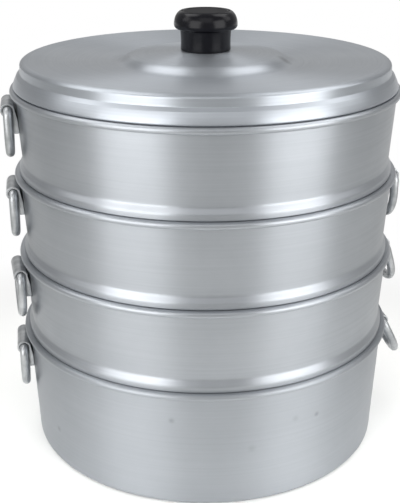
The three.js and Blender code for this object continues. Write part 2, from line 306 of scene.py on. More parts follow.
def grow(piece: bpy.types.Object, tree: bpy.types.NodeTree, inputs: dict[str, object]) -> bpy.types.Object:
    """Runs a geometry node tree on a piece and keeps the result as its plain mesh.

    Args:
        piece: the object that carries the tree.
        tree: the geometry node group.
        inputs: value of each named input of the tree.

    Returns:
        The same object with its new mesh.
    """
    modifier = piece.modifiers.new(tree.name, "NODES")
    modifier.node_group = tree
    for item in tree.interface.items_tree:
        if item.item_type == "SOCKET" and item.in_out == "INPUT" and item.name in inputs:
            modifier[item.identifier] = inputs[item.name]
    return settle(piece)


def press_dent(piece: bpy.types.Object, centre: Vector, radius: float, push: Vector) -> None:
    """Pushes a shallow dent into a thin shell, both of its faces alike.

    Args:
        piece: the shell.
        centre: middle of the dent, m.
        radius: radius of the dent, mm.
        push: how far and which way its middle goes, m.
    """
    for vertex in piece.data.vertices:
        share = (vertex.co - centre).length / (radius * MM)
        if share < 1:
            vertex.co += push * (1 - share * share) ** 2


# Nodes


def linear(code: str) -> tuple[float, float, float, float]:
    """Turns a colour into what a shader takes.

    Args:
        code: sRGB hex colour.

    Returns:
        The linear colour, opaque.
    """
    channels = [int(code[start:start + 2], 16) / 255 for start in (1, 3, 5)]
    lit = [part / 12.92 if part <= 0.04045 else ((part + 0.055) / 1.055) ** 2.4 for part in channels]
    return (*lit, 1.0)


def add_node(tree: bpy.types.NodeTree, kind: str, inputs: dict | None = None,
             **settings: object) -> bpy.types.Node:
    """Adds a node, sets its properties and fills its inputs.

    Args:
        tree: the node tree.
        kind: the node's type name.
        inputs: for each input, by name or number, a value or the output that feeds it.
        settings: properties of the node.

    Returns:
        The new node.
    """
    node = tree.nodes.new(kind)
    for name, value in settings.items():
        setattr(node, name, value)
    for key, value in (inputs or {}).items():
        if isinstance(value, bpy.types.NodeSocket):
            tree.links.new(value, node.inputs[key])
        else:
            node.inputs[key].default_value = value
    return node


def blank_tree(owner: bpy.types.Material | bpy.types.World) -> bpy.types.NodeTree:
    """Turns on the nodes of a material or a world and clears them.

    Args:
        owner: the material or world.

    Returns:
        Its empty node tree.
    """
    owner.use_nodes = True
    owner.node_tree.nodes.clear()
    return owner.node_tree


def coat(material: bpy.types.Material, skin: dict) -> bpy.types.Material:
    """Ends a material with a Principled shader.

    Args:
        material: the material, whose tree holds the patterns.
        skin: for each of the shader's inputs, a value or the output that feeds it.

    Returns:
        The same material.
    """
    tree = material.node_tree
    shader = add_node(tree, "ShaderNodeBsdfPrincipled", skin)
    add_node(tree, "ShaderNodeOutputMaterial", {"Surface": shader.outputs[0]})
    return material


def two_tone(tree: bpy.types.NodeTree, pattern: bpy.types.NodeSocket, span: Point, low: str,
             high: str) -> bpy.types.NodeSocket:
    """Colours a pattern between two colours.

    Args:
        tree: the material's node tree.
        pattern: the pattern.
        span: values of the pattern that get all of the one and of the other colour.
        low: sRGB hex colour of the low values.
        high: sRGB hex colour of the high values.

    Returns:
        The colour.
    """
    share = add_node(tree, "ShaderNodeMapRange", {"Value": pattern, "From Min": span[0], "From Max": span[1]})
    parts = {MIX_FACTOR: share.outputs[0], MIX_FIRST: linear(low), MIX_SECOND: linear(high)}
    return add_node(tree, "ShaderNodeMix", parts, data_type="RGBA").outputs[MIX_COLOUR]


def new_tree(name: str, inputs: dict[str, str]) -> tuple[bpy.types.NodeTree, bpy.types.bpy_prop_collection]:
    """Starts a geometry node tree that takes and gives geometry.

    Args:
        name: name of the tree.
        inputs: name and kind of each further input.

    Returns:
        The tree and what its inputs give.
    """
    tree = bpy.data.node_groups.new(name, "GeometryNodeTree")
    for label, kind in {"Geometry": "Geometry", **inputs}.items():
        tree.interface.new_socket(label, in_out="INPUT", socket_type=f"NodeSocket{kind}")
    tree.interface.new_socket("Geometry", in_out="OUTPUT", socket_type="NodeSocketGeometry")
    return tree, add_node(tree, "NodeGroupInput").outputs


def end_tree(tree: bpy.types.NodeTree, made: bpy.types.NodeSocket, finish: bpy.types.NodeSocket) -> None:
    """Ends a geometry node tree: its instances become real and take one material.

    Args:
        tree: the tree.
        made: the geometry.
        finish: the material.
    """
    real = add_node(tree, "GeometryNodeRealizeInstances", {"Geometry": made})
    dressed = add_node(tree, "GeometryNodeSetMaterial", {"Geometry": real.outputs[0], "Material": finish})
    add_node(tree, "NodeGroupOutput", {0: dressed.outputs[0]})


def dress(piece: bpy.types.Object, material: bpy.types.Material) -> bpy.types.Object:
    """Gives every face of a piece one material.

    Args:
        piece: the piece.
        material: the material.

    Returns:
        The same piece.
    """
    piece.data.materials.clear()
    piece.data.materials.append(material)
    return piece


def stand_in(piece: bpy.types.Object, material: bpy.types.Material, body: str, nodes: Sequence[str]) -> bpy.types.Object:
    """Dresses a piece and puts it in its frame nodes' place.

    Args:
        piece: the piece.
        material: its material.
        body: the body that it rides on.
        nodes: the frame nodes that it replaces.

    Returns:
        The same piece.
    """
    dress(piece, material)
    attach(piece, body)
    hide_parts(*nodes)
    LOG.info("%s: %d faces", piece.name, len(piece.data.polygons))
    return piece


# Finishes


@dataclass(frozen=True)
class Speck:
    """A faint dark spot painted into the colour of a shell; over the lid's dents it is painted shade.

    Attributes:
        place: its middle, mm.
        radius: how far it fades out, mm.
        strength: how dark its middle is, from 0 to 1.
    """

    place: tuple[float, float, float]
    radius: float
    strength: float


@dataclass(frozen=True)
class SpunAluminium:
    """Soft aluminium sheet, spun on a lathe over a chuck and rubbed with abrasive as it turned.

    The abrasive leaves fine rings, so the metal mirrors softly and smears highlights across the rings. Rings
    are 0.2 mm apart on the real sheet; they are drawn at line_spacing, coarse enough to show in the picture.

    Attributes:
        name: name of the material.
        low: sRGB colour in the dull rings.
        high: sRGB colour in the bright rings.
        tone_span: sums of the ring and the patch pattern that get all of the one and of the other colour.
        roughness: middle roughness.
        roughness_spread: how much the roughness changes from ring to ring.
        dull_span: sums of the two patterns that are dullest and glossiest.
        anisotropy: how much a highlight is smeared.
        smear_turn: turns the smear from along the rings to across them, in whole turns.
        line_spacing: distance between rings, mm.
        line_depth: height of the ring marks, mm.
        ripple_spacing: distance between the roller's wider waves, mm.
        ripple_depth: height of those waves, mm.
        cloud_size: size of the patches that handling has dulled, mm.
        specks: faint dark spots, painted shade where they lie over the lid's dents.
        speck_colour: sRGB colour of a spot.
    """

    name: str
    low: str = "#ADB1B6"
    high: str = "#B7BBC0"
    tone_span: Point = (0.65, 1.35)
    roughness: float = 0.40
    roughness_spread: float = 0.05
    dull_span: Point = (0.6, 1.4)
    anisotropy: float = 0.75
    smear_turn: float = 0.25
    line_spacing: float = 1.3
    line_depth: float = 0.002
    ripple_spacing: float = 9.0
    ripple_depth: float = 0.02
    cloud_size: float = 45.0
    specks: tuple[Speck, ...] = ()
    speck_colour: str = "#5F6265"

    def rings(self, tree: bpy.types.NodeTree, place: bpy.types.NodeSocket) -> dict[str, bpy.types.NodeSocket]:
        """Coordinates in which a noise runs in rings round the axis, changing slowly on the way round.

        Args:
            tree: the material's node tree.
            place: object coordinates.

        Returns:
            What feeds the place inputs of a four-dimensional noise, where 1 is the distance between rings.
        """
        flat = add_node(tree, "ShaderNodeVectorMath", {0: place, 1: (1.0, 1.0, 0.0)}, operation="MULTIPLY")
        bearing = add_node(tree, "ShaderNodeVectorMath", {0: flat.outputs[0]}, operation="NORMALIZE")
        around = add_node(tree, "ShaderNodeSeparateXYZ", {0: bearing.outputs[0]}).outputs
        radius = add_node(tree, "ShaderNodeVectorMath", {0: flat.outputs[0]}, operation="LENGTH")
        height = add_node(tree, "ShaderNodeSeparateXYZ", {0: place})
        per_line = 1 / (self.line_spacing * MM)
        across, up = (
            add_node(tree, "ShaderNodeMath", {0: measure, 1: per_line}, operation="MULTIPLY").outputs[0]
            for measure in (radius.outputs["Value"], height.outputs["Z"]))
        vector = add_node(tree, "ShaderNodeCombineXYZ", {0: across, 1: up, 2: around[0]}).outputs[0]
        return {"Vector": vector, "W": around[1]}

    def spotted(self, tree: bpy.types.NodeTree, place: bpy.types.NodeSocket,
                colour: bpy.types.NodeSocket) -> bpy.types.NodeSocket:
        """Darkens the colour at each speck, which over the lid's dents is painted shade.

        Args:
            tree: the material's node tree.
            place: object coordinates.
            colour: the colour without specks.

        Returns:
            The colour with them.
        """
        for speck in self.specks:
            middle = tuple(part * MM for part in speck.place)
            away = add_node(tree, "ShaderNodeVectorMath", {0: place, 1: middle}, operation="DISTANCE")
            fade = {"Value": away.outputs["Value"], "From Max": speck.radius * MM,
                    "To Min": speck.strength, "To Max": 0.0}
            shade = add_node(tree, "ShaderNodeMapRange", fade, interpolation_type="SMOOTHSTEP").outputs[0]
            parts = {MIX_FACTOR: shade, MIX_FIRST: colour, MIX_SECOND: linear(self.speck_colour)}
            colour = add_node(tree, "ShaderNodeMix", parts, data_type="RGBA").outputs[MIX_COLOUR]
        return colour

    def build(self) -> bpy.types.Material:
        """Makes the material.

        Returns:
            The material.
        """
        material = bpy.data.materials.new(self.name)
        tree = blank_tree(material)
        place = add_node(tree, "ShaderNodeTexCoord").outputs["Object"]
        rings = self.rings(tree, place)
        line_noise = {**rings, "Scale": 1.0, "Detail": 3.0, "Roughness": 0.65}
        lines = add_node(tree, "ShaderNodeTexNoise", line_noise, noise_dimensions="4D").outputs["Fac"]
        wave_noise = {**rings, "Scale": self.line_spacing / self.ripple_spacing, "Detail": 1.0}
        waves = add_node(tree, "ShaderNodeTexNoise", wave_noise, noise_dimensions="4D").outputs["Fac"]
        cloud_noise = {"Vector": place, "Scale": 1 / (self.cloud_size * MM), "Detail": 4.0, "Roughness": 0.55}
        clouds = add_node(tree, "ShaderNodeTexNoise", cloud_noise).outputs["Fac"]
        mottle = add_node(tree, "ShaderNodeMath", {0: lines, 1: clouds}, operation="ADD").outputs[0]
        colour = two_tone(tree, mottle, self.tone_span, self.low, self.high)
        dullness = {"Value": mottle, "From Min": self.dull_span[0], "From Max": self.dull_span[1],
                    "To Min": self.roughness + self.roughness_spread,
                    "To Max": self.roughness - self.roughness_spread}
        wide = add_node(tree, "ShaderNodeBump", {"Distance": self.ripple_depth * MM, "Height": waves})
        fine = add_node(tree, "ShaderNodeBump", {"Distance": self.line_depth * MM, "Height": lines,
                                                 "Normal": wide.outputs[0]})
        return coat(material, {
            "Base Color": self.spotted(tree, place, colour),
            "Metallic": 1.0,
            "Roughness": add_node(tree, "ShaderNodeMapRange", dullness).outputs[0],
            "Anisotropic": self.anisotropy,
            "Anisotropic Rotation": self.smear_turn,
            "Tangent": add_node(tree, "ShaderNodeTangent", direction_type="RADIAL", axis="Z").outputs[0],
            "Normal": fine.outputs[0],
        })


@dataclass(frozen=True)
class TumbledAluminium:
    """Drawn aluminium rod and cut strap, tumbled in a drum until the edges are soft.

    The tumbling leaves an evenly satin skin of tiny pits, with patches that are rubbed a little brighter.

    Attributes:
        name: name of the material.
        low: sRGB colour of the dulled skin.
        high: sRGB colour where it is rubbed bright.
        roughness: middle roughness.
        roughness_spread: how much the roughness changes from patch to patch.
        span: values of the patch pattern that are all dulled and all rubbed bright.
        pit_size: size of the tumbling marks, mm.
        pit_depth: their depth, mm.
        patch_size: size of the patches, mm.
    """

    name: str
    low: str = "#A3A6A8"
    high: str = "#C8CACC"
    roughness: float = 0.42
    roughness_spread: float = 0.06
    span: Point = (0.3, 0.7)
    pit_size: float = 1.6
    pit_depth: float = 0.012
    patch_size: float = 9.6

    def build(self) -> bpy.types.Material:
        """Makes the material.

        Returns:
            The material.
        """
        material = bpy.data.materials.new(self.name)
        tree = blank_tree(material)
        place = add_node(tree, "ShaderNodeTexCoord").outputs["Object"]
        pits, patches = (add_node(tree, "ShaderNodeTexNoise", {"Vector": place, "Scale": 1 / (size * MM),
                                                               "Detail": detail}).outputs["Fac"]
                         for size, detail in ((self.pit_size, 2.0), (self.patch_size, 3.0)))
        dullness = {"Value": patches, "From Min": self.span[0], "From Max": self.span[1],
                    "To Min": self.roughness + self.roughness_spread,
                    "To Max": self.roughness - self.roughness_spread}
        bump = add_node(tree, "ShaderNodeBump", {"Distance": self.pit_depth * MM, "Height": pits})
        return coat(material, {
            "Base Color": two_tone(tree, patches, self.span, self.low, self.high),
            "Metallic": 1.0,
            "Roughness": add_node(tree, "ShaderNodeMapRange", dullness).outputs[0],
            "Normal": bump.outputs[0],
        })


@dataclass(frozen=True)
class BlackPhenolic:
    """Black phenolic resin, moulded hot in a polished steel mould; glossy, with a faint veil of kitchen wear.

    Attributes:
        name: name of the material.
        colour: sRGB colour of the resin.
        worn: sRGB colour where the gloss has gone.
        worn_span: values of the scuff pattern that are all clean and all worn.
        roughness: roughness of the glossy skin.
        wear: how much rougher the scuffs are.
        dull_span: values of the scuff pattern that are glossy and dullest.
        gloss: how much the skin mirrors beside clean resin, where 0.5 is as much; oil and wear take the rest.
        rubbed: how much rougher hands have made what faces straight up.
        rubbed_from: how far up a face looks where that starts, where 1 is straight up.
        scuff_size: size of the dulled patches, mm.
    """

    name: str
    colour: str = "#0A0A0F"
    worn: str = "#0F0F14"
    worn_span: Point = (0.45, 0.75)
    roughness: float = 0.2
    wear: float = 0.08
    dull_span: Point = (0.3, 0.75)
    gloss: float = 0.22
    rubbed: float = 0.4
    rubbed_from: float = 0.9
    scuff_size: float = 7.0

    def build(self) -> bpy.types.Material:
        """Makes the material.

        Returns:
            The material.
        """
        material = bpy.data.materials.new(self.name)
        tree = blank_tree(material)
        place = add_node(tree, "ShaderNodeTexCoord").outputs["Object"]
        scuff_noise = {"Vector": place, "Scale": 1 / (self.scuff_size * MM), "Detail": 5.0, "Roughness": 0.6}
        scuffs = add_node(tree, "ShaderNodeTexNoise", scuff_noise).outputs["Fac"]
        dullness = {"Value": scuffs, "From Min": self.dull_span[0], "From Max": self.dull_span[1],
                    "To Min": self.roughness, "To Max": self.roughness + self.wear}
        skin = add_node(tree, "ShaderNodeMapRange", dullness).outputs[0]
        normal = add_node(tree, "ShaderNodeNewGeometry").outputs["Normal"]
        upward = add_node(tree, "ShaderNodeSeparateXYZ", {0: normal}).outputs["Z"]
        rubbing = {"Value": upward, "From Min": self.rubbed_from, "To Max": self.rubbed}
        top = add_node(tree, "ShaderNodeMapRange", rubbing, interpolation_type="SMOOTHSTEP").outputs[0]
        return coat(material, {
            "Base Color": two_tone(tree, scuffs, self.worn_span, self.colour, self.worn),
            "Roughness": add_node(tree, "ShaderNodeMath", {0: skin, 1: top}, operation="ADD").outputs[0],
            "Specular IOR Level": self.gloss,
        })


@dataclass(frozen=True)
class PlainMetal:
    """A small metal part that is turned or plated, such as brass or zinc on steel, with a fine grain.

    Attributes:
        name: name of the material.
        low: sRGB colour in the hollows.
        high: sRGB colour on the crests.
        roughness: middle roughness.
        grain_size: size of the tool marks or the plating's crystals, mm.
        roughness_spread: how much the roughness changes over the grain.
        span: values of the grain that are all hollow and all crest.
    """

    name: str
    low: str
    high: str
    roughness: float
    grain_size: float
    roughness_spread: float = 0.05
    span: Point = (0.3, 0.7)

    def build(self) -> bpy.types.Material:
        """Makes the material.

        Returns:
            The material.
        """
        material = bpy.data.materials.new(self.name)
        tree = blank_tree(material)
        place = add_node(tree, "ShaderNodeTexCoord").outputs["Object"]
        grain_noise = {"Vector": place, "Scale": 1 / (self.grain_size * MM), "Detail": 3.0}
        grain = add_node(tree, "ShaderNodeTexNoise", grain_noise).outputs["Fac"]
        dullness = {"Value": grain, "To Min": self.roughness - self.roughness_spread,
                    "To Max": self.roughness + self.roughness_spread}
        return coat(material, {
            "Base Color": two_tone(tree, grain, self.span, self.low, self.high),
            "Metallic": 1.0,
            "Roughness": add_node(tree, "ShaderNodeMapRange", dullness).outputs[0],
        })


# The camera and the studio


@dataclass(frozen=True)
class Camera:
    """A camera in front of the object, a little to its left, looking down on it.

    Attributes:
        bearing: how far it stands to the left of straight ahead, degrees.
        distance: from the object's axis to the camera, measured level, m.
        height: above the table, m.
        pitch: how far it looks down, degrees.
        roll: turn about the line of sight, degrees.
        lens: focal length on a 36 mm film, mm.
        aside: how far the picture is shifted to the right, in picture heights.
    """

    bearing: float = 10.0
    distance: float = 0.72705
    height: float = 0.42264
    pitch: float = 21.148
    roll: float = 0.134
    lens: float = 70.589
    aside: float = -0.0104

    def facing(self, turn: float = 0.0) -> Vector:
        """A level direction from the axis to the camera, turned to the camera's right.

        Args:
            turn: degrees to the right, as the camera sees it.

        Returns:
            A unit vector.
        """
        angle = math.radians(self.bearing - turn)
        return Vector((-math.sin(angle), -math.cos(angle), 0.0))

    def build(self) -> None:
        """Makes the camera and hands it to the scene."""
        made = bpy.data.objects.new("camera", bpy.data.cameras.new("camera"))
        bpy.context.scene.collection.objects.link(made)
        made.data.lens = self.lens
        made.data.shift_x = self.aside
        stand = self.facing() * self.distance
        place = Matrix.Translation((stand.x, stand.y, self.height))
        turn = Matrix.Rotation(math.radians(-self.bearing), 4, "Z")
        tilt = Matrix.Rotation(math.radians(90 - self.pitch), 4, "X")
        made.matrix_world = place @ turn @ tilt @ Matrix.Rotation(math.radians(self.roll), 4, "Z")
        bpy.context.scene.camera = made


@dataclass(frozen=True)
class Softbox:
    """A large soft lamp that faces the object.

    Attributes:
        name: name of the lamp.
        turn: where it stands, degrees to the camera's right.
        rise: how high it stands, degrees above the object's middle.
        distance: from the object's middle, m.
        width: its width, m.
        height: its height, m.
        watts: its power.
    """

    name: str
    turn: float
    rise: float
    distance: float
    width: float
    height: float
    watts: float

    def build(self, camera: Camera, target: Vector) -> None:
        """Makes the lamp.

        Args:
            camera: the camera that its place is given from.
            target: what it points at.
        """
        lamp = bpy.data.lights.new(self.name, "AREA")
        lamp.shape = "RECTANGLE"
        lamp.size = self.width
        lamp.size_y = self.height
        lamp.energy = self.watts
        made = bpy.data.objects.new(self.name, lamp)
        bpy.context.scene.collection.objects.link(made)
        rise = math.radians(self.rise)
        outward = camera.facing(self.turn) * math.cos(rise) + Vector((0, 0, math.sin(rise)))
        made.location = target + outward * self.distance
        made.rotation_euler = outward.to_track_quat("Z", "Y").to_euler()
        made.visible_camera = False


@dataclass(frozen=True)
class Studio:
    """A white table and backdrop, with soft lamps at the sides, above the camera and high behind.

    Attributes:
        camera: the camera.
        softboxes: the lamps, with their turn, rise, distance, width, height and power.
        table_radius: how far the table reaches, m.
        table_colour: sRGB colour of the sheet on the table, on which the object stands.
        painted_falloff_colour: sRGB colour that the table darkens to beyond the sheet, a painted fall-off of
            light away from the object that reflections see.
        fade: distances from the object where the table starts to fade into the backdrop and has faded, m.
        behind: how far behind the object's axis reflections see all of the white, m.
        fill: strength of the light that comes from all round.
        room: brightness of the room in reflections, where white is 1.
        backdrop: brightness of the backdrop in reflections.
        backdrop_edge: how squarely a reflection faces the camera where the backdrop starts and is all seen,
            where -1 looks straight away from it.
        backdrop_foot: how far up a reflection looks there, where 1 is straight up.
    """

    camera: Camera = Camera()
    softboxes: tuple[Softbox, ...] = (
        Softbox("left_softbox", -40, 15, 1.25, 0.9, 1.0, 8.2),
        Softbox("right_softbox", 52, 15, 1.25, 0.9, 1.0, 8.2),
        Softbox("front_softbox", 0, 46, 1.25, 0.9, 0.7, 1.7),
        Softbox("far_left_softbox", -84, 36, 1.25, 0.5, 0.5, 1.4),
        Softbox("far_right_softbox", 96, 36, 1.25, 0.5, 0.5, 1.1),
        Softbox("upper_left_softbox", -113, 62, 1.2, 0.6, 0.6, 2.9),
        Softbox("upper_right_softbox", 113, 62, 1.2, 0.6, 0.6, 2.7),
    )
    table_radius: float = 6.0
    table_colour: str = "#F6F6F4"
    painted_falloff_colour: str = "#B8B8B6"
    fade: Point = (0.16, 0.42)
    behind: float = 2.4
    fill: float = 0.8
    room: float = 0.38
    backdrop: float = 0.8
    backdrop_edge: Point = (-0.74, -0.94)
    backdrop_foot: Point = (0.1, 0.4)

    def build(self, middle: Vector) -> None:
        """Makes the camera, the lamps, the table and the backdrop.

        Args:
            middle: the middle of the object.
        """
        bpy.context.scene.view_settings.view_transform = "Standard"
        self.camera.build()
        for softbox in self.softboxes:
            softbox.build(self.camera, middle)
        self.build_table()
        self.build_backdrop()

    @staticmethod
    def seen_directly(tree: bpy.types.NodeTree, in_gloss: object = 1.0) -> bpy.types.NodeSocket:
        """Adds nodes that give 1 where the camera, a reflection or a clear material looks at the background.

        Args:
            tree: the node tree.
            in_gloss: how much of the background reflections see, a number or an output.

        Returns:
            The share of the background that is seen.
        """
        path = add_node(tree, "ShaderNodeLightPath").outputs
        gloss = {0: path["Is Glossy Ray"], 1: in_gloss}
        seen = add_node(tree, "ShaderNodeMath", gloss, operation="MULTIPLY").outputs[0]
        for ray in ("Is Camera Ray", "Is Transmission Ray"):
            seen = add_node(tree, "ShaderNodeMath", {0: seen, 1: path[ray]}, operation="MAXIMUM").outputs[0]
        return seen

    def build_table(self) -> None:
        """Makes the round table top, which keeps the object's shadow and fades into the white backdrop; its
        colour darkens away from the object, a painted fall-off of light.
        """
        table = mesh_object("table", [(0, 0, 0)], [])
        work = bmesh.new()
        bmesh.ops.create_circle(work, cap_ends=True, segments=TABLE_FACETS, radius=self.table_radius)
        work.to_mesh(table.data)
        work.free()
        material = bpy.data.materials.new("white_laminate_table")
        tree = blank_tree(material)
        place = add_node(tree, "ShaderNodeTexCoord").outputs["Object"]
        away = add_node(tree, "ShaderNodeVectorMath", {0: place}, operation="LENGTH").outputs["Value"]
        fading = {"Value": away, "From Min": self.fade[0], "From Max": self.fade[1]}
        fade = add_node(tree, "ShaderNodeMapRange", fading, interpolation_type="SMOOTHSTEP").outputs[0]
        depth = {0: place, 1: tuple(-self.camera.facing())}
        along = add_node(tree, "ShaderNodeVectorMath", depth, operation="DOT_PRODUCT").outputs["Value"]
        whitening = {"Value": along, "From Max": self.behind}
        behind = add_node(tree, "ShaderNodeMapRange", whitening, interpolation_type="SMOOTHSTEP").outputs[0]
        share = {0: fade, 1: self.seen_directly(tree, behind)}
        seen = add_node(tree, "ShaderNodeMath", share, operation="MULTIPLY").outputs[0]
        # Painted fall-off of light: the table's colour darkens from near white at the object to grey farther
        # out, as the metal mirrors it.
        near, far = linear(self.table_colour), linear(self.painted_falloff_colour)
        tones = {MIX_FACTOR: fade, MIX_FIRST: near, MIX_SECOND: far}
        colour = add_node(tree, "ShaderNodeMix", tones, data_type="RGBA").outputs[MIX_COLOUR]
        matt = add_node(tree, "ShaderNodeBsdfDiffuse", {"Color": colour})
        white = add_node(tree, "ShaderNodeEmission", {"Color": linear("#FFFFFF"), "Strength": 1.0})
        mixed = add_node(tree, "ShaderNodeMixShader", {0: seen, 1: matt.outputs[0], 2: white.outputs[0]})
        add_node(tree, "ShaderNodeOutputMaterial", {"Surface": mixed.outputs[0]})
        dress(table, material)

    def build_backdrop(self) -> None:
        """Makes the world: a white backdrop where it is looked at, and in reflections also a dimmer room."""
        world = bpy.data.worlds.new("studio")
        bpy.context.scene.world = world
        tree = blank_tree(world)
        ahead = add_node(tree, "ShaderNodeTexCoord").outputs["Generated"]
        towards = {0: ahead, 1: tuple(self.camera.facing())}
        facing = add_node(tree, "ShaderNodeVectorMath", towards, operation="DOT_PRODUCT").outputs["Value"]
        height = add_node(tree, "ShaderNodeSeparateXYZ", {0: ahead}).outputs["Z"]
        behind, above = (
            add_node(tree, "ShaderNodeMapRange", {"Value": value, "From Min": span[0], "From Max": span[1]},
                     interpolation_type="SMOOTHSTEP").outputs[0]
            for value, span in ((facing, self.backdrop_edge), (height, self.backdrop_foot)))
        share = add_node(tree, "ShaderNodeMath", {0: behind, 1: above}, operation="MULTIPLY").outputs[0]
        mirrored = {MIX_FACTOR: share, NUMBER_FIRST: self.room, NUMBER_SECOND: self.backdrop}
        dim = add_node(tree, "ShaderNodeMix", mirrored, data_type="FLOAT").outputs[0]
        glossy = add_node(tree, "ShaderNodeLightPath").outputs["Is Glossy Ray"]
        seen = {MIX_FACTOR: glossy, NUMBER_FIRST: 1.0, NUMBER_SECOND: dim}
        strength = add_node(tree, "ShaderNodeMix", seen, data_type="FLOAT").outputs[0]
        fill, white = (add_node(tree, "ShaderNodeBackground", {"Color": linear("#FFFFFF"), "Strength": power})
                       for power in (self.fill, strength))
        mixed = {0: self.seen_directly(tree), 1: fill.outputs[0], 2: white.outputs[0]}
        surface = add_node(tree, "ShaderNodeMixShader", mixed).outputs[0]
        add_node(tree, "ShaderNodeOutputWorld", {"Surface": surface})


# What the frame says about a place


def node_points(node: str) -> list[Vector]:
    """Vertices of a frame node, in millimetres."""
    return [vertex.co / MM for vertex in frame["nodes"][node].data.vertices]


def reach_of(node: str) -> float:
    """Largest distance of a frame node from the Z axis, mm."""
    return max(math.hypot(point.x, point.y) for point in node_points(node))


def heights_of(node: str) -> Point:
    """Lowest and highest point of a frame node, mm."""
    low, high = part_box(node)
    return low.z / MM, high.z / MM


@dataclass(frozen=True)
class Wall:
    """The straight flank of a vessel, which leans out towards its rim.

    Attributes:
        foot: height of its lower end, mm.
        foot_radius: outside radius there, mm.
        top: height of its upper end, mm.
        top_radius: outside radius there, mm.
    """

    foot: float
    foot_radius: float
    top: float
    top_radius: float

    def radius_at(self, height: float) -> float:
        """Outside radius at a height, mm."""
        share = min(1.0, (height - self.foot) / (self.top - self.foot))
        return self.foot_radius + (self.top_radius - self.foot_radius) * share


# Shells


@dataclass
class Shell:
    """What the pot, the tiers and the lid share: one sheet, spun, with a rolled bead round an open rim.

    Attributes:
        node: the frame node that the shell replaces.
        body: the body that it rides on.
        finish: its material.
        sheet: thickness of the sheet, mm.
        bead_height: height of the rolled bead, mm.
        bead_overhang: how far the bead stands out from the wall, mm.
        edge_round: rounding of the inside edge of the rim, mm.
        facet: longest facet up a wall or across a floor, mm.
    """

    node: str
    body: str
    finish: bpy.types.Material
    sheet: float = 1.6
    bead_height: float = 4.6
    bead_overhang: float = 3.3
    edge_round: float = 0.7
    facet: float = 3.0

    def rim_bead(self, wall: Wall, rim: float) -> Outline:
        """The rolled bead, from the crevice under it, up and over to the inside edge of the rim.

        Args:
            wall: the wall that the bead stands on.
            rim: height of the rim, mm.

        Returns:
            Points that go up outside and end on the inside of the wall.
        """
        half = self.bead_height / 2
        centre = (wall.top_radius + self.bead_overhang - half, rim - half)
        crevice = -math.degrees(math.acos((wall.top_radius - centre[0]) / half))
        inside = wall.top_radius - self.sheet
        corners = [Corner(centre[0], rim), Corner(inside, rim, self.edge_round), Corner(inside, wall.top)]
        return arc(centre, (half, half), crevice, 90, steps=22) + rounded(corners)[1:]

    def outline(self) -> Outline:
        """The shell's outline, outside first."""
        raise NotImplementedError

    def build(self) -> bpy.types.Object:
        """Makes the shell and puts it in its node's place."""
        shell = self.work(lathe(f"{self.node}_spun", refined(self.outline(), self.facet)))
        return stand_in(shell, self.finish, self.body, [self.node])

    def work(self, shell: bpy.types.Object) -> bpy.types.Object:
        """What is done to the shell after spinning."""
        return shell


@dataclass
class PotShell(Shell):
    """The water pot: a plain deep vessel with a flat base.

    Attributes:
        taper: how much the wall narrows down to the base, mm.
        corner: rounding between wall and base, mm.
    """

    taper: float = 4.0
    corner: float = 4.0

    def wall(self) -> Wall:
        """The pot's flank.

        Returns:
            Its line, from the foot up to the crevice under the bead.
        """
        base, rim = heights_of(self.node)
        radius = reach_of(self.node) - self.bead_overhang
        return Wall(base + self.corner, radius - self.taper, rim - self.bead_height, radius)

    def outline(self) -> Outline:
        """The pot's outline, outside first.

        Returns:
            Radius and height of each point, mm.
        """
        base, rim = heights_of(self.node)
        wall = self.wall()
        centre = (wall.foot_radius - self.corner, wall.foot)
        inner = self.corner - self.sheet
        return [
            (0.0, base),
            *arc(centre, (self.corner, self.corner), -90, 0, steps=9),
            *self.rim_bead(wall, rim),
            *arc(centre, (inner, inner), 0, -90, steps=7),
            (0.0, base + self.sheet),
        ]


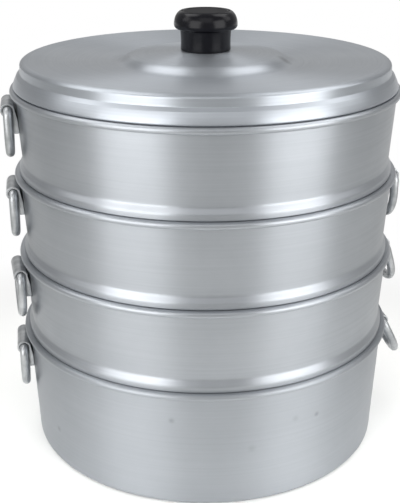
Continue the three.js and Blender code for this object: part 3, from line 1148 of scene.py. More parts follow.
@dataclass
class TierShell(Shell):
    """A steaming tier: a wall on a spigot that drops into the rim below, with a perforated floor.

    Attributes:
        taper: how much the wall narrows down to its foot, mm.
        spigot_depth: how far the spigot reaches below its seat, mm.
        spigot_clearance: between the spigot and the rim below, mm.
        floor_corner: rounding between spigot and floor, mm.
        flange_inset: how far the seat flange stays inside the rim below, mm.
        flange_edge: rounding of the flange's lower edge, mm.
        seat_fold: rounding of the fold between spigot and flange, mm.
        inner_fold: the same fold on the inside of the sheet, mm.
        step_top: seat to where the wall starts to step out to the flange, mm.
        step_height: how far down the step runs, mm.
        step_lean: lean of the step's middle, degrees.
        hole_radius: of the steam holes, mm.
        hole_spacing: between the rings of holes, mm.
        hole_roll: how wide the rolled edge of a hole is, mm.
        punch_share: length of the punch as a share of the sheet.
    """

    taper: float = 3.0
    spigot_depth: float = 8.0
    spigot_clearance: float = 1.2
    floor_corner: float = 3.0
    flange_inset: float = 0.7
    flange_edge: float = 0.5
    seat_fold: float = 0.4
    inner_fold: float = 0.8
    step_top: float = 9.6
    step_height: float = 6.6
    step_lean: float = 28.0
    hole_radius: float = 4.5
    hole_spacing: float = 35.0
    hole_roll: float = 0.5
    punch_share: float = 3.0

    hole_rings: ClassVar[int] = 3
    holes_in_first_ring: ClassVar[int] = 6

    def seat(self) -> float:
        """Height of the face that rests on the rim below, mm."""
        return heights_of(self.node)[0] + self.spigot_depth

    def wall(self) -> Wall:
        """The tier's flank.

        Returns:
            Its line, from the foot up to the crevice under the bead.
        """
        rim = heights_of(self.node)[1]
        radius = reach_of(self.node) - self.bead_overhang
        return Wall(self.seat() + self.step_top, radius - self.taper, rim - self.bead_height, radius)

    def foot_step(self, flange: float, inward: float) -> Outline:
        """The double bend in which the wall steps out to the flange.

        Args:
            flange: outside radius of the flange, mm.
            inward: how far inside the outer face the line lies, mm.

        Returns:
            Points from the flange up to the wall.
        """
        wall, lean = self.wall(), math.radians(self.step_lean)
        out = flange - wall.foot_radius
        bend = (self.step_height * math.sin(lean) - out * math.cos(lean)) / (2 * (1 - math.cos(lean)))
        low, high = bend - inward, bend + inward
        lower = arc((flange - bend, wall.foot - self.step_height), (low, low), 0, self.step_lean, steps=7)
        upper = arc((wall.foot_radius + bend, wall.foot), (high, high), 180 + self.step_lean, 180, steps=7)
        return lower + upper

    def outline(self) -> Outline:
        """The tier's outline, outside first.

        Returns:
            Radius and height of each point, mm.
        """
        floor, rim = heights_of(self.node)
        wall, seat = self.wall(), self.seat()
        spigot = wall.top_radius - self.sheet - self.spigot_clearance
        flange = wall.top_radius - self.flange_inset
        below = rounded([
            Corner(0.0, floor),
            Corner(spigot, floor, self.floor_corner),
            Corner(spigot, seat, self.seat_fold),
            Corner(flange, seat, self.flange_edge),
            Corner(flange, wall.foot - self.step_height),
        ])
        inside = rounded([
            Corner(flange - self.sheet, wall.foot - self.step_height),
            Corner(flange - self.sheet, seat + self.sheet, self.flange_edge),
            Corner(spigot - self.sheet, seat + self.sheet, self.inner_fold),
            Corner(spigot - self.sheet, floor + self.sheet, self.floor_corner - self.sheet),
            Corner(0.0, floor + self.sheet),
        ])
        outer_step, inner_step = self.foot_step(flange, 0.0), self.foot_step(flange, self.sheet)
        return below[:-1] + outer_step + self.rim_bead(wall, rim) + inner_step[::-1] + inside[1:]

    def hole_tree(self) -> bpy.types.NodeTree:
        """Geometry nodes that punch rings of round steam holes in a floor.

        Returns:
            The tree, whose sizes are named inputs in metres. The punch's mouth is wider, which rolls each
            hole's edge.
        """
        sizes = ("Hole Radius", "Mouth Radius", "Mouth Depth", "Ring Spacing", "Floor Height", "Punch Length")
        tree, given = new_tree("steam_holes", {**dict.fromkeys(sizes, "Float"), "Finish": "Material"})
        places = [add_node(tree, "GeometryNodeMeshLine", {"Count": 1}).outputs[0]]
        for ring in range(1, self.hole_rings + 1):
            steps = {0: given["Ring Spacing"], 1: float(ring)}
            reach = add_node(tree, "ShaderNodeMath", steps, operation="MULTIPLY").outputs[0]
            circle = {"Vertices": self.holes_in_first_ring * ring, "Radius": reach}
            places.append(add_node(tree, "GeometryNodeMeshCircle", circle).outputs[0])
        all_places = add_node(tree, "GeometryNodeJoinGeometry")
        for made in places:
            tree.links.new(made, all_places.inputs[0])
        shank = {"Vertices": HOLE_FACETS, "Radius": given["Hole Radius"], "Depth": given["Punch Length"]}
        mouth = {"Vertices": HOLE_FACETS, "Radius Top": given["Mouth Radius"],
                 "Radius Bottom": given["Hole Radius"], "Depth": given["Mouth Depth"]}
        punch = add_node(tree, "GeometryNodeMeshBoolean", operation="UNION", solver="MANIFOLD")
        for kind, form in (("GeometryNodeMeshCylinder", shank), ("GeometryNodeMeshCone", mouth)):
            tree.links.new(add_node(tree, kind, form).outputs[0], punch.inputs["Mesh 2"])
        punches = add_node(tree, "GeometryNodeInstanceOnPoints", {"Points": all_places.outputs[0],
                                                                  "Instance": punch.outputs[0]})
        level = add_node(tree, "ShaderNodeCombineXYZ", {2: given["Floor Height"]})
        lowered = add_node(tree, "GeometryNodeTransform", {"Geometry": punches.outputs[0],
                                                           "Translation": level.outputs[0]})
        solid = add_node(tree, "GeometryNodeRealizeInstances", {"Geometry": lowered.outputs[0]})
        both = {"Mesh 1": given["Geometry"], "Mesh 2": solid.outputs[0]}
        holed = add_node(tree, "GeometryNodeMeshBoolean", both, operation="DIFFERENCE", solver="MANIFOLD")
        end_tree(tree, holed.outputs[0], given["Finish"])
        return tree

    def work(self, shell: bpy.types.Object) -> bpy.types.Object:
        """Punches the steam holes.

        Args:
            shell: the spun shell.

        Returns:
            The same shell with its holes.
        """
        floor = heights_of(self.node)[0]
        sizes = {
            "Hole Radius": self.hole_radius * MM,
            "Mouth Radius": (self.hole_radius + 2 * self.hole_roll) * MM,
            "Mouth Depth": 2 * self.hole_roll * MM,
            "Ring Spacing": self.hole_spacing * MM,
            "Floor Height": (floor + self.sheet - self.hole_roll) * MM,
            "Punch Length": self.punch_share * self.sheet * MM,
            "Finish": self.finish,
        }
        return close_up(grow(shell, self.hole_tree(), sizes))


@dataclass
class LidShell(Shell):
    """The lid: a flared band with a curled edge, a side wall, a rounded shoulder, a dished panel and a boss.

    Attributes:
        band_overhang: the band's lower edge, past the wall line of the rim, mm.
        band_edge: height of the curled lower edge, mm.
        band_height: top of the band, above the rim, mm.
        band_slope: how much the band narrows on its way up, mm.
        band_bulge: how far the band swells out between its edges, mm.
        band_curve: radius of that swelling, seen from the side, mm.
        curl_end: how far round the lower edge curls, degrees from the outward direction.
        curl_crease: rounding of the crease inside the curl, mm.
        step: how far the sloping ledge steps in from the band to the side wall, mm.
        ledge_height: where the ledge meets the side wall, mm.
        ledge_fold: rounding of the ledge's two folds, mm.
        side_height: where the side starts to round over, mm.
        side_taper: how much the side narrows, mm.
        panel_height: top of the shoulder, mm.
        shoulder_width: width of the rounded shoulder, mm.
        dish: how far the panel falls from the shoulder to the boss, mm.
        boss_foot: radius where the boss starts to rise, mm.
        boss_crest: radius where the rise ends, mm.
        boss_rise: from its foot to its crest, mm.
        boss_crown: from the crest to the knob's seat, mm.
        crown_power: how the crown rounds over, where 1 is a straight cone.
        knob_seat: radius of the flat seat under the knob, mm.
        screw_hole: radius of the hole for the knob's screw, mm.
        spigot_depth: how far the skirt drops inside the rim, mm.
        spigot_clearance: between the skirt and the rim, mm.
        skirt_edge: rounding of the skirt's lower edges, mm.
        seat_fold: rounding of the fold between skirt and seat, mm.
        inner_fold: the same fold on the inside of the sheet, mm.
        top_facet: longest facet across the top face, mm.
        under_facet: longest facet across its underside, mm.
    """

    band_overhang: float = 0.7
    band_edge: float = 2.6
    band_height: float = 8.4
    band_slope: float = 3.0
    band_bulge: float = 0.2
    band_curve: float = 20.0
    curl_end: float = 20.0
    curl_crease: float = 0.3
    step: float = 2.5
    ledge_height: float = 10.8
    ledge_fold: float = 1.2
    side_height: float = 15.8
    side_taper: float = 0.2
    panel_height: float = 18.6
    shoulder_width: float = 5.3
    dish: float = 3.4
    boss_foot: float = 66.0
    boss_crest: float = 53.0
    boss_rise: float = 5.4
    boss_crown: float = 2.4
    crown_power: float = 1.4
    knob_seat: float = 19.0
    screw_hole: float = 2.8
    spigot_depth: float = 8.0
    spigot_clearance: float = 1.2
    skirt_edge: float = 0.6
    seat_fold: float = 0.5
    inner_fold: float = 1.0
    top_facet: float = 2.4
    under_facet: float = 4.0

    def top_height(self, radius: float) -> float:
        """Height of the lid's top face above its seat, from the knob's seat out to the shoulder.

        Args:
            radius: distance from the axis, mm.

        Returns:
            The height, mm.
        """
        foot = self.panel_height - self.dish
        crest = foot + self.boss_rise
        if radius <= self.knob_seat:
            return crest + self.boss_crown
        if radius <= self.boss_crest:
            share = (radius - self.knob_seat) / (self.boss_crest - self.knob_seat)
            return crest + self.boss_crown * (1 - share ** self.crown_power)
        if radius <= self.boss_foot:
            share = (radius - self.boss_crest) / (self.boss_foot - self.boss_crest)
            return foot + self.boss_rise * (1 + math.cos(math.pi * share)) / 2
        share = (radius - self.boss_foot) / (self.shoulder_radius() - self.boss_foot)
        return foot + self.dish * share

    def surface(self, radius: float) -> float:
        """Height of the top face above the table at a radius, mm."""
        return heights_of(self.node)[0] + self.spigot_depth + self.top_height(radius)

    def band_radius(self) -> float:
        """Radius of the band's lower edge, mm."""
        return reach_of(self.node)

    def shoulder_radius(self) -> float:
        """Radius of the shoulder's top, mm."""
        return self.band_radius() - self.band_slope - self.step - self.side_taper - self.shoulder_width

    def top_face(self, lower: float, facet: float) -> Outline:
        """The top face from the screw hole out to the shoulder, lowered by the sheet for its underside.

        Args:
            lower: how far it lies under the top face, mm.
            facet: longest facet, mm.

        Returns:
            Points from the screw hole outwards.
        """
        radii = [self.screw_hole]
        stops = [self.knob_seat, self.boss_crest, self.boss_foot, self.shoulder_radius()]
        for stop in stops:
            start, parts = radii[-1], math.ceil((stop - radii[-1]) / facet)
            radii += [start + (stop - start) * part / parts for part in range(1, parts + 1)]
        return [(radius, self.surface(radius) - lower) for radius in radii]

    def outline(self) -> Outline:
        """The lid's outline, from the skirt's lower edge, up outside, over the top and back underneath.

        Returns:
            Radius and height of each point, mm.
        """
        low = heights_of(self.node)[0]
        seat = low + self.spigot_depth
        band = self.band_radius()
        band_top = band - self.band_slope
        side = band_top - self.step
        shoulder = (self.shoulder_radius(), seat + self.side_height)
        rise = self.panel_height - self.side_height
        spigot = band - self.band_overhang - self.sheet - self.spigot_clearance
        skirt_middle = spigot - self.sheet / 2
        curl = self.band_edge / 2
        skirt = rounded([
            Corner(skirt_middle, low),
            Corner(spigot, low, self.skirt_edge),
            Corner(spigot, seat, self.seat_fold),
            Corner(band - curl, seat),
        ])
        edge = arc((band - curl, seat + curl), (curl, curl), -90, self.curl_end, steps=9)
        swell = (band + band_top) / 2 + self.band_bulge
        flank = rounded([
            Corner(*edge[-1]),
            Corner(swell, seat + (curl + self.band_height) / 2, self.band_curve),
            Corner(band_top, seat + self.band_height, self.ledge_fold),
            Corner(side, seat + self.ledge_height, self.ledge_fold),
            Corner(side - self.side_taper, seat + self.side_height),
        ])
        over = arc(shoulder, (self.shoulder_width, rise), 0, 90, steps=22)
        under = arc(shoulder, (self.shoulder_width - self.sheet, rise - self.sheet), 90, 0, steps=14)
        inside = rounded([
            Corner(*under[-1]),
            Corner(side - self.sheet, seat + self.ledge_height - self.sheet / 2, self.ledge_fold),
            Corner(band_top - self.sheet, seat + self.band_height - self.sheet / 2, self.ledge_fold),
            Corner(band - self.sheet - curl / 2, seat + self.band_edge, self.curl_crease),
            Corner(band - self.sheet - curl, seat + self.sheet, self.curl_crease),
            Corner(spigot - self.sheet, seat + self.sheet, self.inner_fold),
            Corner(spigot - self.sheet, low, self.skirt_edge),
            Corner(skirt_middle, low),
        ])
        top, underside = self.top_face(0.0, self.top_facet), self.top_face(self.sheet, self.under_facet)
        return skirt[:-1] + edge + flank[1:-1] + over[:-1] + top[::-1] + underside[:-1] + under + inside[1:]


# Knob


@dataclass
class KnobSet:
    """The moulded knob with the brass insert inside it, and the screw and washer under the lid.

    Attributes:
        phenolic: material of the knob.
        brass: material of the insert.
        zinc: material of the screw and the washer.
        neck_radius: at the foot, mm.
        neck_waist: radius halfway up, mm.
        neck_curve: radius of the waist's hollow, seen from the side, mm.
        neck_flare: how much wider the neck's top is than its foot, mm.
        neck_height: mm.
        neck_edge: rounding of the foot's outer edge, mm.
        neck_crease: rounding between the neck and the head, mm.
        head_radius: mm.
        head_band: height of the upright band round the head, mm.
        head_start: where the head's rounding starts above that band, degrees from the outward direction.
        lip: rounding under the head's widest ring, mm.
        top_radius: mm.
        top_dish: how deep the top is dished, mm.
        dish_edge: rounding where the dish ends, mm.
        facet: longest facet up the knob, mm.
        socket_radius: of the hole that the insert sits in, mm.
        socket_depth: mm.
        socket_corner: rounding of the hole's end, mm.
        socket_edge: rounding of the hole's mouth, mm.
        thread_gap: between the screw and what it passes through, mm.
        groove_depth: of the ring groove that holds the insert in the resin, mm.
        groove_mouth: height of that groove at the insert's surface, mm.
        groove_floor: its height at its bottom, mm.
        groove_edge: rounding of its edges, mm.
        insert_edge: rounding of the insert's ends, mm.
        screw_flat_share: the flat of the screw's head, as a share of the head.
        screw_crown: rounding of the head's end, mm.
        screw_flank: height of the head's upright flank and its rounding, mm.
        screw_edge: rounding of the head's seat, mm.
        shank_fillet: between the head and the shank, mm.
        shank_end: rounding of the shank's end, mm.
        washer_roll: rounding of the washer's lower edge, mm.
        washer_edge: rounding of its upper edge, mm.
        slot_width: of the screw's slot, mm.
        slot_depth: mm.
    """

    phenolic: bpy.types.Material
    brass: bpy.types.Material
    zinc: bpy.types.Material
    neck_radius: float = 18.3
    neck_waist: float = 18.1
    neck_curve: float = 60.0
    neck_flare: float = 0.3
    neck_height: float = 15.0
    neck_edge: float = 0.7
    neck_crease: float = 1.4
    head_radius: float = 23.2
    head_band: float = 0.3
    head_start: float = 3.0
    lip: float = 3.4
    top_radius: float = 16.6
    top_dish: float = 0.5
    dish_edge: float = 1.0
    facet: float = 2.0
    socket_radius: float = 5.3
    socket_depth: float = 13.3
    socket_corner: float = 0.5
    socket_edge: float = 0.4
    thread_gap: float = 0.3
    groove_depth: float = 0.6
    groove_mouth: float = 2.8
    groove_floor: float = 1.6
    groove_edge: float = 0.2
    insert_edge: float = 0.4
    screw_flat_share: float = 0.7
    screw_crown: float = 1.2
    screw_flank: float = 1.0
    screw_edge: float = 0.15
    shank_fillet: float = 0.2
    shank_end: float = 0.5
    washer_roll: float = 0.35
    washer_edge: float = 0.15
    slot_width: float = 1.2
    slot_depth: float = 1.1

    body: ClassVar[str] = "lid"

    def knob(self) -> bpy.types.Object:
        """Makes the knob.

        Returns:
            The closed piece.
        """
        base, top = heights_of("lid_knob")
        head_foot = base + self.neck_height
        head_top = head_foot + self.lip
        neck = rounded([
            Corner(0.0, base + self.socket_depth),
            Corner(self.socket_radius, base + self.socket_depth, self.socket_corner),
            Corner(self.socket_radius, base, self.socket_edge),
            Corner(self.neck_radius, base, self.neck_edge),
            Corner(self.neck_waist, base + self.neck_height / 2, self.neck_curve),
            Corner(self.neck_radius + self.neck_flare, head_foot, self.neck_crease),
            Corner(self.head_radius, head_foot, self.lip),
            Corner(self.head_radius, head_top + self.head_band),
        ])
        half = (self.head_radius - self.top_radius, top - head_top)
        head = arc((self.top_radius, head_top), half, self.head_start, 90, steps=26)
        dish = rounded([
            Corner(*head[-1]),
            Corner(self.top_radius - 2 * self.top_dish, top - self.top_dish, self.dish_edge),
            Corner(0.0, top - self.top_dish),
        ])
        return lathe("moulded_knob", refined(neck[:-1] + head + dish[1:], self.facet), KNOB_FACETS)

    def insert(self) -> bpy.types.Object:
        """Makes the threaded brass insert.

        Returns:
            The closed piece.
        """
        low, high = heights_of("knob_insert")
        radius, bore = reach_of("knob_insert"), self.bore()
        middle, waist = (low + high) / 2, radius - self.groove_depth
        chain = [
            Corner(bore, low),
            Corner(radius, low, self.insert_edge),
            Corner(radius, middle - self.groove_mouth / 2, self.groove_edge),
            Corner(waist, middle - self.groove_floor / 2, self.groove_edge),
            Corner(waist, middle + self.groove_floor / 2, self.groove_edge),
            Corner(radius, middle + self.groove_mouth / 2, self.groove_edge),
            Corner(radius, high, self.insert_edge),
            Corner(bore, high),
        ]
        return lathe("threaded_insert", rounded(chain), INSERT_FACETS)

    @staticmethod
    def screw_radius() -> float:
        """Radius of the screw's shank, taken near its upper end.

        Returns:
            The radius, mm.
        """
        top = heights_of("knob_screw")[1]
        return max(math.hypot(point.x, point.y) for point in node_points("knob_screw")
                   if top - point.z < NEAR)

    def bore(self) -> float:
        """Radius of the insert's and the washer's hole, mm."""
        return self.screw_radius() + self.thread_gap

    def screw(self) -> bpy.types.Object:
        """Makes the pan head screw, with its slot facing down.

        Returns:
            The closed piece.
        """
        low, high = heights_of("knob_screw")
        head, shank = reach_of("knob_screw"), self.screw_radius()
        seat = max(point.z for point in node_points("knob_screw")
                   if head - math.hypot(point.x, point.y) < NEAR)
        outline = rounded([
            Corner(0.0, low),
            Corner(head * self.screw_flat_share, low, self.screw_crown),
            Corner(head, seat - self.screw_flank, self.screw_flank),
            Corner(head, seat, self.screw_edge),
            Corner(shank, seat, self.shank_fillet),
            Corner(shank, high, self.shank_end),
            Corner(0.0, high),
        ])
        screw = lathe("pan_head_screw", outline, SCREW_FACETS)
        cutter = mesh_object("slot_cutter", [], [])
        work = bmesh.new()
        bmesh.ops.create_cube(work, size=1.0)
        work.to_mesh(cutter.data)
        work.free()
        # The cutter is longer than the head is wide, and half of it lies below the head
        size = (3 * head * MM, self.slot_width * MM, 2 * self.slot_depth * MM)
        cutter.data.transform(Matrix.Translation((0, 0, low * MM)) @ Matrix.Diagonal((*size, 1)))
        cut = screw.modifiers.new("slot", "BOOLEAN")
        cut.operation, cut.solver, cut.object = "DIFFERENCE", "EXACT", cutter
        settle(screw)
        bpy.data.objects.remove(cutter)
        return close_up(screw)

    def washer(self) -> bpy.types.Object:
        """Makes the plain washer.

        Returns:
            The closed piece.
        """
        low, high = heights_of("knob_washer")
        radius, bore = reach_of("knob_washer"), self.bore()
        chain = [
            Corner(bore, low),
            Corner(radius, low, self.washer_roll),
            Corner(radius, high, self.washer_edge),
            Corner(bore, high),
        ]
        return lathe("plain_washer", rounded(chain), SCREW_FACETS)

    def build(self) -> None:
        """Makes the four pieces and puts them in their nodes' places."""
        for make, node, material, slot in (
            (self.knob, "lid_knob", self.phenolic, Slot.PHENOLIC),
            (self.insert, "knob_insert", self.brass, Slot.BRASS),
            (self.screw, "knob_screw", self.zinc, Slot.ZINC),
            (self.washer, "knob_washer", self.zinc, Slot.ZINC),
        ):
            stand_in(make(), material, self.body, [node])


# Handles


def sweep_loop(name: str, stations: Sequence[tuple[Point, float]], radius: float) -> bpy.types.Object:
    """Sweeps a round rod along a closed loop in the plane across the vessel.

    Args:
        name: name of the piece.
        stations: for each, its place across and up, mm, and the angle of its outward direction, radians.
        radius: of the rod, mm.

    Returns:
        The closed rod, with the loop's bar on the Y axis and its bow below.
    """
    vertices, faces = [], []
    for (across, height), outward in stations:
        for side in range(ROD_FACETS):
            angle = 2 * math.pi * side / ROD_FACETS
            reach = radius * math.cos(angle)
            place = (radius * math.sin(angle), across + reach * math.cos(outward),
                     height + reach * math.sin(outward))
            vertices.append(tuple(part * MM for part in place))
    for index in range(len(stations)):
        here, there = index * ROD_FACETS, (index + 1) % len(stations) * ROD_FACETS
        for side in range(ROD_FACETS):
            after = (side + 1) % ROD_FACETS
            faces.append((here + side, here + after, there + after, there + side))
    return close_up(mesh_object(name, vertices, faces))


@dataclass
class HandleSet:
    """The drop handles, strap brackets and rivets of one vessel.

    Attributes:
        vessel: the vessel that carries them.
        wall: its flank.
        tumbled: material of the rod and the strap.
        rivet_finish: material of the rivets.
        rod_radius: mm.
        leg_offset: from the middle out to a leg's centre line, mm.
        bend: centre line radius of the two upper corners, mm.
        drop: from the bar's axis to the bow's lowest centre line, mm.
        strap: thickness of the strap, mm.
        fold_gap: between the strap's two layers, mm.
        bracket_width: mm.
        bore_gap: between the bar and the strap, mm.
        tail_drop: from the bar's axis to the tail's lower end, mm.
        tail_corner: rounding of the tail's two lower corners, mm.
        wall_gap: between the strap and the wall, mm.
        edge_bevel: softening of the strap's edges, mm.
        bevel_from: edges that turn more than this are softened, degrees.
        rivet_spacing: mm.
        rivet_drop: from the bar's axis to the rivets, mm.
        rivet_radius: of a rivet's shank, mm.
        rivet_head: radius of a rivet's heads, mm.
        dome: height of the outer head, mm.
        dome_rim: height of its upright rim, mm.
        dome_start: where the dome starts above that rim, degrees from the outward direction.
        inner_head: height of the inner head, mm.
        inner_edge: rounding of the inner head, mm.
        head_edge: rounding of both heads where they meet the sheet, mm.
    """

    vessel: Vessel
    wall: Wall
    tumbled: bpy.types.Material
    rivet_finish: bpy.types.Material
    rod_radius: float = 3.2
    leg_offset: float = 20.5
    bend: float = 4.0
    drop: float = 34.0
    strap: float = 1.6
    fold_gap: float = 0.04
    bracket_width: float = 32.0
    bore_gap: float = 0.3
    tail_drop: float = 18.0
    tail_corner: float = 4.0
    wall_gap: float = 0.3
    edge_bevel: float = 0.3
    bevel_from: float = 50.0
    rivet_spacing: float = 18.0
    rivet_drop: float = 13.2
    rivet_radius: float = 1.9
    rivet_head: float = 3.4
    dome: float = 1.5
    dome_rim: float = 0.25
    dome_start: float = 6.0
    inner_head: float = 0.95
    inner_edge: float = 0.3
    head_edge: float = 0.1

    # How far down the tail each row of points on its two layers lies, where 1 is its lower end
    tail_shares: ClassVar[tuple[float, ...]] = (1.0, 0.8, 0.6, 0.4)
    points_across: ClassVar[int] = 9

    def joints(self) -> list[dict]:
        """The swing joints of this vessel's handles.

        Returns:
            The frame's two joints, as the frame gives them.
        """
        starts = f"{self.vessel.value}_"
        return [joint for joint in frame["joints"]
                if joint["name"].startswith(starts) and joint["name"].endswith("_swing")]

    @staticmethod
    def bearing(joint: dict) -> float:
        """Which way a joint lies from the steamer's axis, radians."""
        return math.atan2(joint["pos_m"][1], joint["pos_m"][0])

    @staticmethod
    def axis_radius(joint: dict) -> float:
        """How far a joint lies from the steamer's axis, mm."""
        return math.hypot(*joint["pos_m"][:2]) / MM

    def side_place(self, joint: dict) -> Matrix:
        """Turns and moves a piece made on the bar's axis, outward along X, to where a joint is.

        Args:
            joint: a swing joint of the frame.

        Returns:
            The placing matrix.
        """
        return Matrix.Translation(joint["pos_m"]) @ Matrix.Rotation(self.bearing(joint), 4, "Z")

    def hang(self, joint: dict) -> float:
        """How far a handle stands out from hanging straight down.

        Args:
            joint: the handle's swing joint.

        Returns:
            The angle, radians.
        """
        points = node_points(joint["child"])
        middle = sum(points, Vector()) / len(points) * MM
        local = self.side_place(joint).inverted() @ middle
        return math.atan2(local.x, -local.z)

    def stations(self) -> list[tuple[Point, float]]:
        """The handle's loop: two upper corners, and a bow that is a half circle between the legs.

        Returns:
            For each station, its place across and up, mm, and the angle of its outward direction, radians.
        """
        corner = self.leg_offset - self.bend
        bow = self.leg_offset - self.drop
        found = []
        for centre, radius, start, end, steps in (
            ((corner, -self.bend), self.bend, 90, 0, 10),
            ((0.0, bow), self.leg_offset, 0, -180, 48),
            ((-corner, -self.bend), self.bend, 180, 90, 10),
        ):
            for step, point in enumerate(arc(centre, (radius, radius), start, end, steps)):
                found.append((point, math.radians(start + (end - start) * step / steps)))
        return found

    def handle(self, joint: dict) -> None:
        """Makes one handle and hangs it in its bracket.

        Args:
            joint: the handle's swing joint.
        """
        node = joint["child"]
        handle = sweep_loop(f"{node}_rod", self.stations(), self.rod_radius)
        handle.data.transform(self.side_place(joint) @ Matrix.Rotation(-self.hang(joint), 4, "Y"))
        stand_in(handle, self.tumbled, node, [node])

    def strap_path(self) -> list[tuple[Vector, Vector]]:
        """The strap's centre line, up the wall, round the bar and down in front.

        Returns:
            For each point, its place outward and up, mm, and the direction from the middle to the outer face.
        """
        half = self.strap / 2
        back = self.wall.top_radius - self.axis_radius(self.joints()[0]) + self.wall_gap + half
        front = back + self.strap
        ring = self.rod_radius + self.bore_gap + half
        inner_bend = ring / 2
        low_centre = Vector((front + inner_bend, 0.0))
        low_centre.y = -math.sqrt((ring + inner_bend) ** 2 - low_centre.x ** 2)
        leave = math.degrees(math.atan2(low_centre.y, low_centre.x))
        path = [(Vector((back, -share * self.tail_drop)), Vector((-1.0, 0.0))) for share in self.tail_shares]
        for point in arc((0.0, 0.0), (1.0, 1.0), 180, leave, steps=40):
            path.append((Vector(point) * ring, Vector(point)))
        for point in arc((0.0, 0.0), (1.0, 1.0), 180 + leave, 180, steps=8)[1:]:
            path.append((low_centre + Vector(point) * inner_bend, -Vector(point)))
        for share in self.tail_shares[-2::-1]:
            path.append((Vector((front, -share * self.tail_drop)), Vector((1.0, 0.0))))
        return path

    def strap_rows(self, joint: dict) -> list[list[tuple[float, ...]]]:
        """Points of the strap, whose back layer follows the vessel's wall.

        Args:
            joint: the swing joint of the handle that it carries.

        Returns:
            A row across the strap for each point of its path, of pairs on its outer and its inner face, m.
        """
        half = (self.strap - self.fold_gap) / 2
        across = [self.bracket_width / 2 * share for share in self.spread(self.points_across)]
        rows = []
        for index, (middle, face) in enumerate(self.strap_path()):
            row = []
            for place in across:
                height = max(middle.y, self.tail_end(place))
                for side in (1, -1):
                    point = Vector((middle.x, height)) + face * half * side
                    if side == 1 and index < len(self.tail_shares):
                        radius = self.wall.radius_at(joint["pos_m"][2] / MM + point.y) + self.wall_gap
                        point.x = math.sqrt(radius ** 2 - place ** 2) - self.axis_radius(joint)
                    row.append((point.x * MM, place * MM, point.y * MM))
            rows.append(row)
        return rows

    def bracket(self, joint: dict) -> None:
        """Makes one strap bracket: a folded strip with soft edges.

        Args:
            joint: the swing joint of the handle that it carries.
        """
        rows = self.strap_rows(joint)
        stem = joint["child"].removesuffix("_handle")
        vertices = [vertex for row in rows for vertex in row]
        bracket = close_up(mesh_object(f"{stem}_strap", vertices, self.strip_faces(rows)))
        bevel = bracket.modifiers.new("soft_edges", "BEVEL")
        bevel.width, bevel.segments = self.edge_bevel * MM, 2
        bevel.limit_method, bevel.angle_limit = "ANGLE", math.radians(self.bevel_from)
        close_up(settle(bracket))
        bracket.data.transform(self.side_place(joint))
        stand_in(bracket, self.tumbled, self.vessel.value, [f"{stem}_bracket"])

    @staticmethod
    def spread(count: int) -> list[float]:
        """Shares from -1 to 1, closer together near the ends."""
        return [math.sin(math.pi / 2 * (2 * index / (count - 1) - 1)) for index in range(count)]

    def tail_end(self, across: float) -> float:
        """Height of the tail's lower edge, which its two corners round off.

        Args:
            across: place across the bracket, mm.

        Returns:
            The height from the bar's axis, mm.
        """
        into = abs(across) - (self.bracket_width / 2 - self.tail_corner)
        if into <= 0:
            return -self.tail_drop
        return -self.tail_drop + self.tail_corner - math.sqrt(max(0.0, self.tail_corner ** 2 - into ** 2))

    @staticmethod
    def strip_faces(rows: Sequence[Sequence[tuple]]) -> list[tuple[int, ...]]:
        """Faces of a closed strip whose rows hold pairs of outer and inner points.

        Args:
            rows: the strip's rows, all of one length.

        Returns:
            The faces by vertex number.
        """
        size = len(rows[0])
        faces = []
        for row in range(len(rows) - 1):
            here, there = row * size, (row + 1) * size
            for step in range(0, size - 2, 2):
                faces.append((here + step, there + step, there + step + 2, here + step + 2))
                faces.append((here + step + 1, here + step + 3, there + step + 3, there + step + 1))
            faces.append((here, here + 1, there + 1, there))
            last = size - 2
            faces.append((here + last, there + last, there + last + 1, here + last + 1))
        for row, flip in ((0, False), (len(rows) - 1, True)):
            start = row * size
            for step in range(0, size - 2, 2):
                face = (start + step, start + step + 2, start + step + 3, start + step + 1)
                faces.append(face[::-1] if flip else face)
        return faces

    @staticmethod
    def rivet_tree() -> bpy.types.NodeTree:
        """Geometry nodes that set a pair of rivets at each bracket.

        Returns:
            The tree: its points are the middles between two rivets, whose "bearing" says which way they face.
        """
        tree, given = new_tree("rivet_pairs", {"Spacing": "Float", "Rivet": "Object", "Finish": "Material"})
        half = add_node(tree, "ShaderNodeMath", {0: given["Spacing"], 1: -0.5}, operation="MULTIPLY")
        start = add_node(tree, "ShaderNodeCombineXYZ", {1: half.outputs[0]})
        step = add_node(tree, "ShaderNodeCombineXYZ", {1: given["Spacing"]})
        pair = add_node(tree, "GeometryNodeMeshLine", {"Count": 2, "Start Location": start.outputs[0],
                                                       "Offset": step.outputs[0]})
        rivet = add_node(tree, "GeometryNodeObjectInfo", {"Object": given["Rivet"]})
        both = add_node(tree, "GeometryNodeInstanceOnPoints", {"Points": pair.outputs[0],
                                                               "Instance": rivet.outputs["Geometry"]})
        bearing = add_node(tree, "GeometryNodeInputNamedAttribute", {"Name": "bearing"},
                           data_type="FLOAT_VECTOR").outputs["Attribute"]
        turn = add_node(tree, "FunctionNodeEulerToRotation", {0: bearing})
        placed = add_node(tree, "GeometryNodeInstanceOnPoints", {"Points": given["Geometry"],
                                                                 "Instance": both.outputs[0],
                                                                 "Rotation": turn.outputs[0]})
        end_tree(tree, placed.outputs[0], given["Finish"])
        return tree

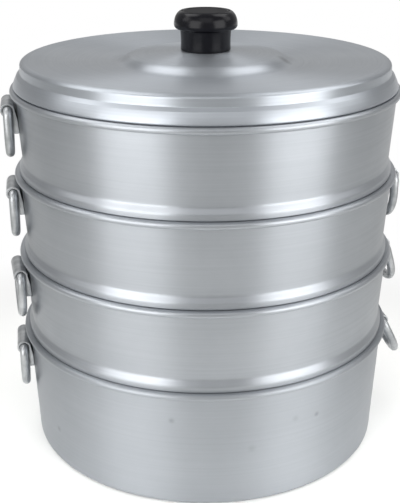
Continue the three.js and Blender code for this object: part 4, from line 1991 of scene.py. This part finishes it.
    def rivet_template(self, node: str, bearing: float) -> bpy.types.Object:
        """Makes one rivet along X, with the lengths of the frame's own.

        Args:
            node: a rivet node of the frame.
            bearing: which way it faces, radians.

        Returns:
            The rivet, with X measured from the vessel's axis.
        """
        outward = Vector((math.cos(bearing), math.sin(bearing), 0))
        along = [point.dot(outward) for point in node_points(node)]
        inner, outer = min(along), max(along)
        seat = outer - self.dome
        chain = rounded([
            Corner(0.0, inner),
            Corner(self.rivet_head, inner, self.inner_edge),
            Corner(self.rivet_head, inner + self.inner_head, self.head_edge),
            Corner(self.rivet_radius, inner + self.inner_head),
            Corner(self.rivet_radius, seat - self.dome_rim),
            Corner(self.rivet_head, seat - self.dome_rim, self.head_edge),
            Corner(self.rivet_head, seat + self.dome_rim),
        ])
        half = (self.rivet_head, self.dome - self.dome_rim)
        head = arc((0.0, seat + self.dome_rim), half, self.dome_start, 90, steps=8)
        rivet = lathe("rivet_template", chain[:-1] + head, ROD_FACETS)
        rivet.data.transform(Matrix.Rotation(math.pi / 2, 4, "Y"))
        return rivet

    def rivets(self) -> None:
        """Sets all the vessel's rivets, as one piece."""
        places, bearings, nodes = [], [], []
        for joint in self.joints():
            bearings.append(self.bearing(joint))
            places.append((0.0, 0.0, joint["pos_m"][2] - self.rivet_drop * MM))
            stem = joint["child"].removesuffix("_handle")
            nodes += [f"{stem}_front_rivet", f"{stem}_rear_rivet"]
        piece = mesh_object(f"{self.vessel.value}_rivets", places, [])
        turns = piece.data.attributes.new("bearing", "FLOAT_VECTOR", "POINT")
        for item, bearing in zip(turns.data, bearings):
            item.vector = (0.0, 0.0, bearing)
        template = self.rivet_template(nodes[0], bearings[0])
        inputs = {"Spacing": self.rivet_spacing * MM, "Rivet": template, "Finish": self.rivet_finish}
        grow(piece, self.rivet_tree(), inputs)
        bpy.data.objects.remove(template)
        stand_in(close_up(piece), self.rivet_finish, self.vessel.value, nodes)

    def build(self) -> None:
        """Makes both handles, both brackets and the rivets."""
        for joint in self.joints():
            self.handle(joint)
            self.bracket(joint)
        self.rivets()


# The whole steamer


@dataclass
class Steamer:
    """The pot, its three tiers and the lid.

    Attributes:
        studio: where it is photographed.
        dent_radius: of the lid's two small dents, mm.
    """

    studio: Studio
    dent_radius: float = 6.5

    # Faint spots on the pot: turn to the camera's right in degrees, height, radius and strength
    pot_spots: ClassVar[Rows] = (
        (-9.5, 69.8, 3.2, 0.30),
        (35.0, 61.6, 3.0, 0.35),
        (27.3, 63.7, 4.0, 0.15),
        (-53.0, 30.1, 3.4, 0.30),
        (13.8, 45.7, 4.5, 0.15),
    )
    # Dents on the slope of the lid's boss: turn, distance from the axis and depth
    lid_dents: ClassVar[Rows] = ((80.0, 58.6, 0.3), (-80.0, 58.2, 0.15))
    # Painted shade over the dents, darkening the colour: turn, distance from the axis, radius and strength
    lid_dent_shade: ClassVar[Rows] = ((76.0, 58.8, 8.5, 0.50), (-80.0, 58.2, 8.5, 0.12))

    def spot(self, turn: float, radius: float, height: float) -> Vector:
        """A place on the steamer's surface.

        Args:
            turn: degrees to the right of the camera's middle line.
            radius: distance from the axis, mm.
            height: mm above the table.

        Returns:
            The place, mm.
        """
        return self.studio.camera.facing(turn) * radius + Vector((0, 0, height))

    def pot_specks(self, wall: Wall) -> tuple[Speck, ...]:
        """The few faint spots on the pot's wall."""
        return tuple(Speck(tuple(self.spot(turn, wall.radius_at(height), height)), radius, strength)
                     for turn, height, radius, strength in self.pot_spots)

    def lid_shade_specks(self, lid: LidShell) -> tuple[Speck, ...]:
        """Painted shade over the lid's two dents: darker colour round each."""
        return tuple(Speck(tuple(self.spot(turn, reach, lid.surface(reach))), radius, strength)
                     for turn, reach, radius, strength in self.lid_dent_shade)

    def dent_lid(self, lid: LidShell, shell: bpy.types.Object) -> None:
        """Presses the two small dents into the lid.

        Args:
            lid: the lid's sizes.
            shell: its spun shell.
        """
        for turn, reach, depth in self.lid_dents:
            middle = self.spot(turn, reach, lid.surface(reach)) * MM
            press_dent(shell, middle, self.dent_radius, Vector((0, 0, -depth * MM)))

    def build(self) -> None:
        """Makes every piece."""
        plain = SpunAluminium("spun_aluminium_satin").build()
        tumbled = TumbledAluminium("tumbled_aluminium").build()
        rivet_finish = TumbledAluminium("formed_aluminium_rivet", "#B4B6B8", "#D2D3D5", roughness=0.3).build()
        pot = PotShell("pot_shell", "pot", plain)
        pot.finish = SpunAluminium("spun_aluminium_matt", "#ABAFB4", "#B1B5BA", roughness=0.48,
                                   roughness_spread=0.03, line_depth=0.001,
                                   specks=self.pot_specks(pot.wall())).build()
        pot.build()
        HandleSet(Vessel.POT, pot.wall(), tumbled, rivet_finish).build()
        for vessel in (Vessel.LOWER_TIER, Vessel.MIDDLE_TIER, Vessel.UPPER_TIER):
            tier = TierShell(f"{vessel.value}_shell", vessel.value, plain)
            tier.build()
            HandleSet(vessel, tier.wall(), tumbled, rivet_finish).build()
        lid = LidShell("lid_shell", "lid", plain)
        lid.finish = SpunAluminium("spun_aluminium_lid", "#B2B7BD", "#BCC1C7",
                                   specks=self.lid_shade_specks(lid)).build()
        self.dent_lid(lid, lid.build())
        phenolic = BlackPhenolic("moulded_phenolic").build()
        brass = PlainMetal("turned_brass", "#9C7A3C", "#C29A55", 0.35, 0.8).build()
        zinc = PlainMetal("zinc_plated_steel", "#8F9498", "#B3B7BA", 0.38, 0.6).build()
        KnobSet(phenolic, brass, zinc).build()


def main() -> None:
    """Builds the studio and the steamer."""
    logging.basicConfig(level=logging.INFO, format="%(name)s: %(message)s")
    low, high = CAD_BOX
    studio = Studio()
    studio.build((Vector(low) + Vector(high)) / 2)
    Steamer(studio).build()


if __name__ == "__main__":
    main()
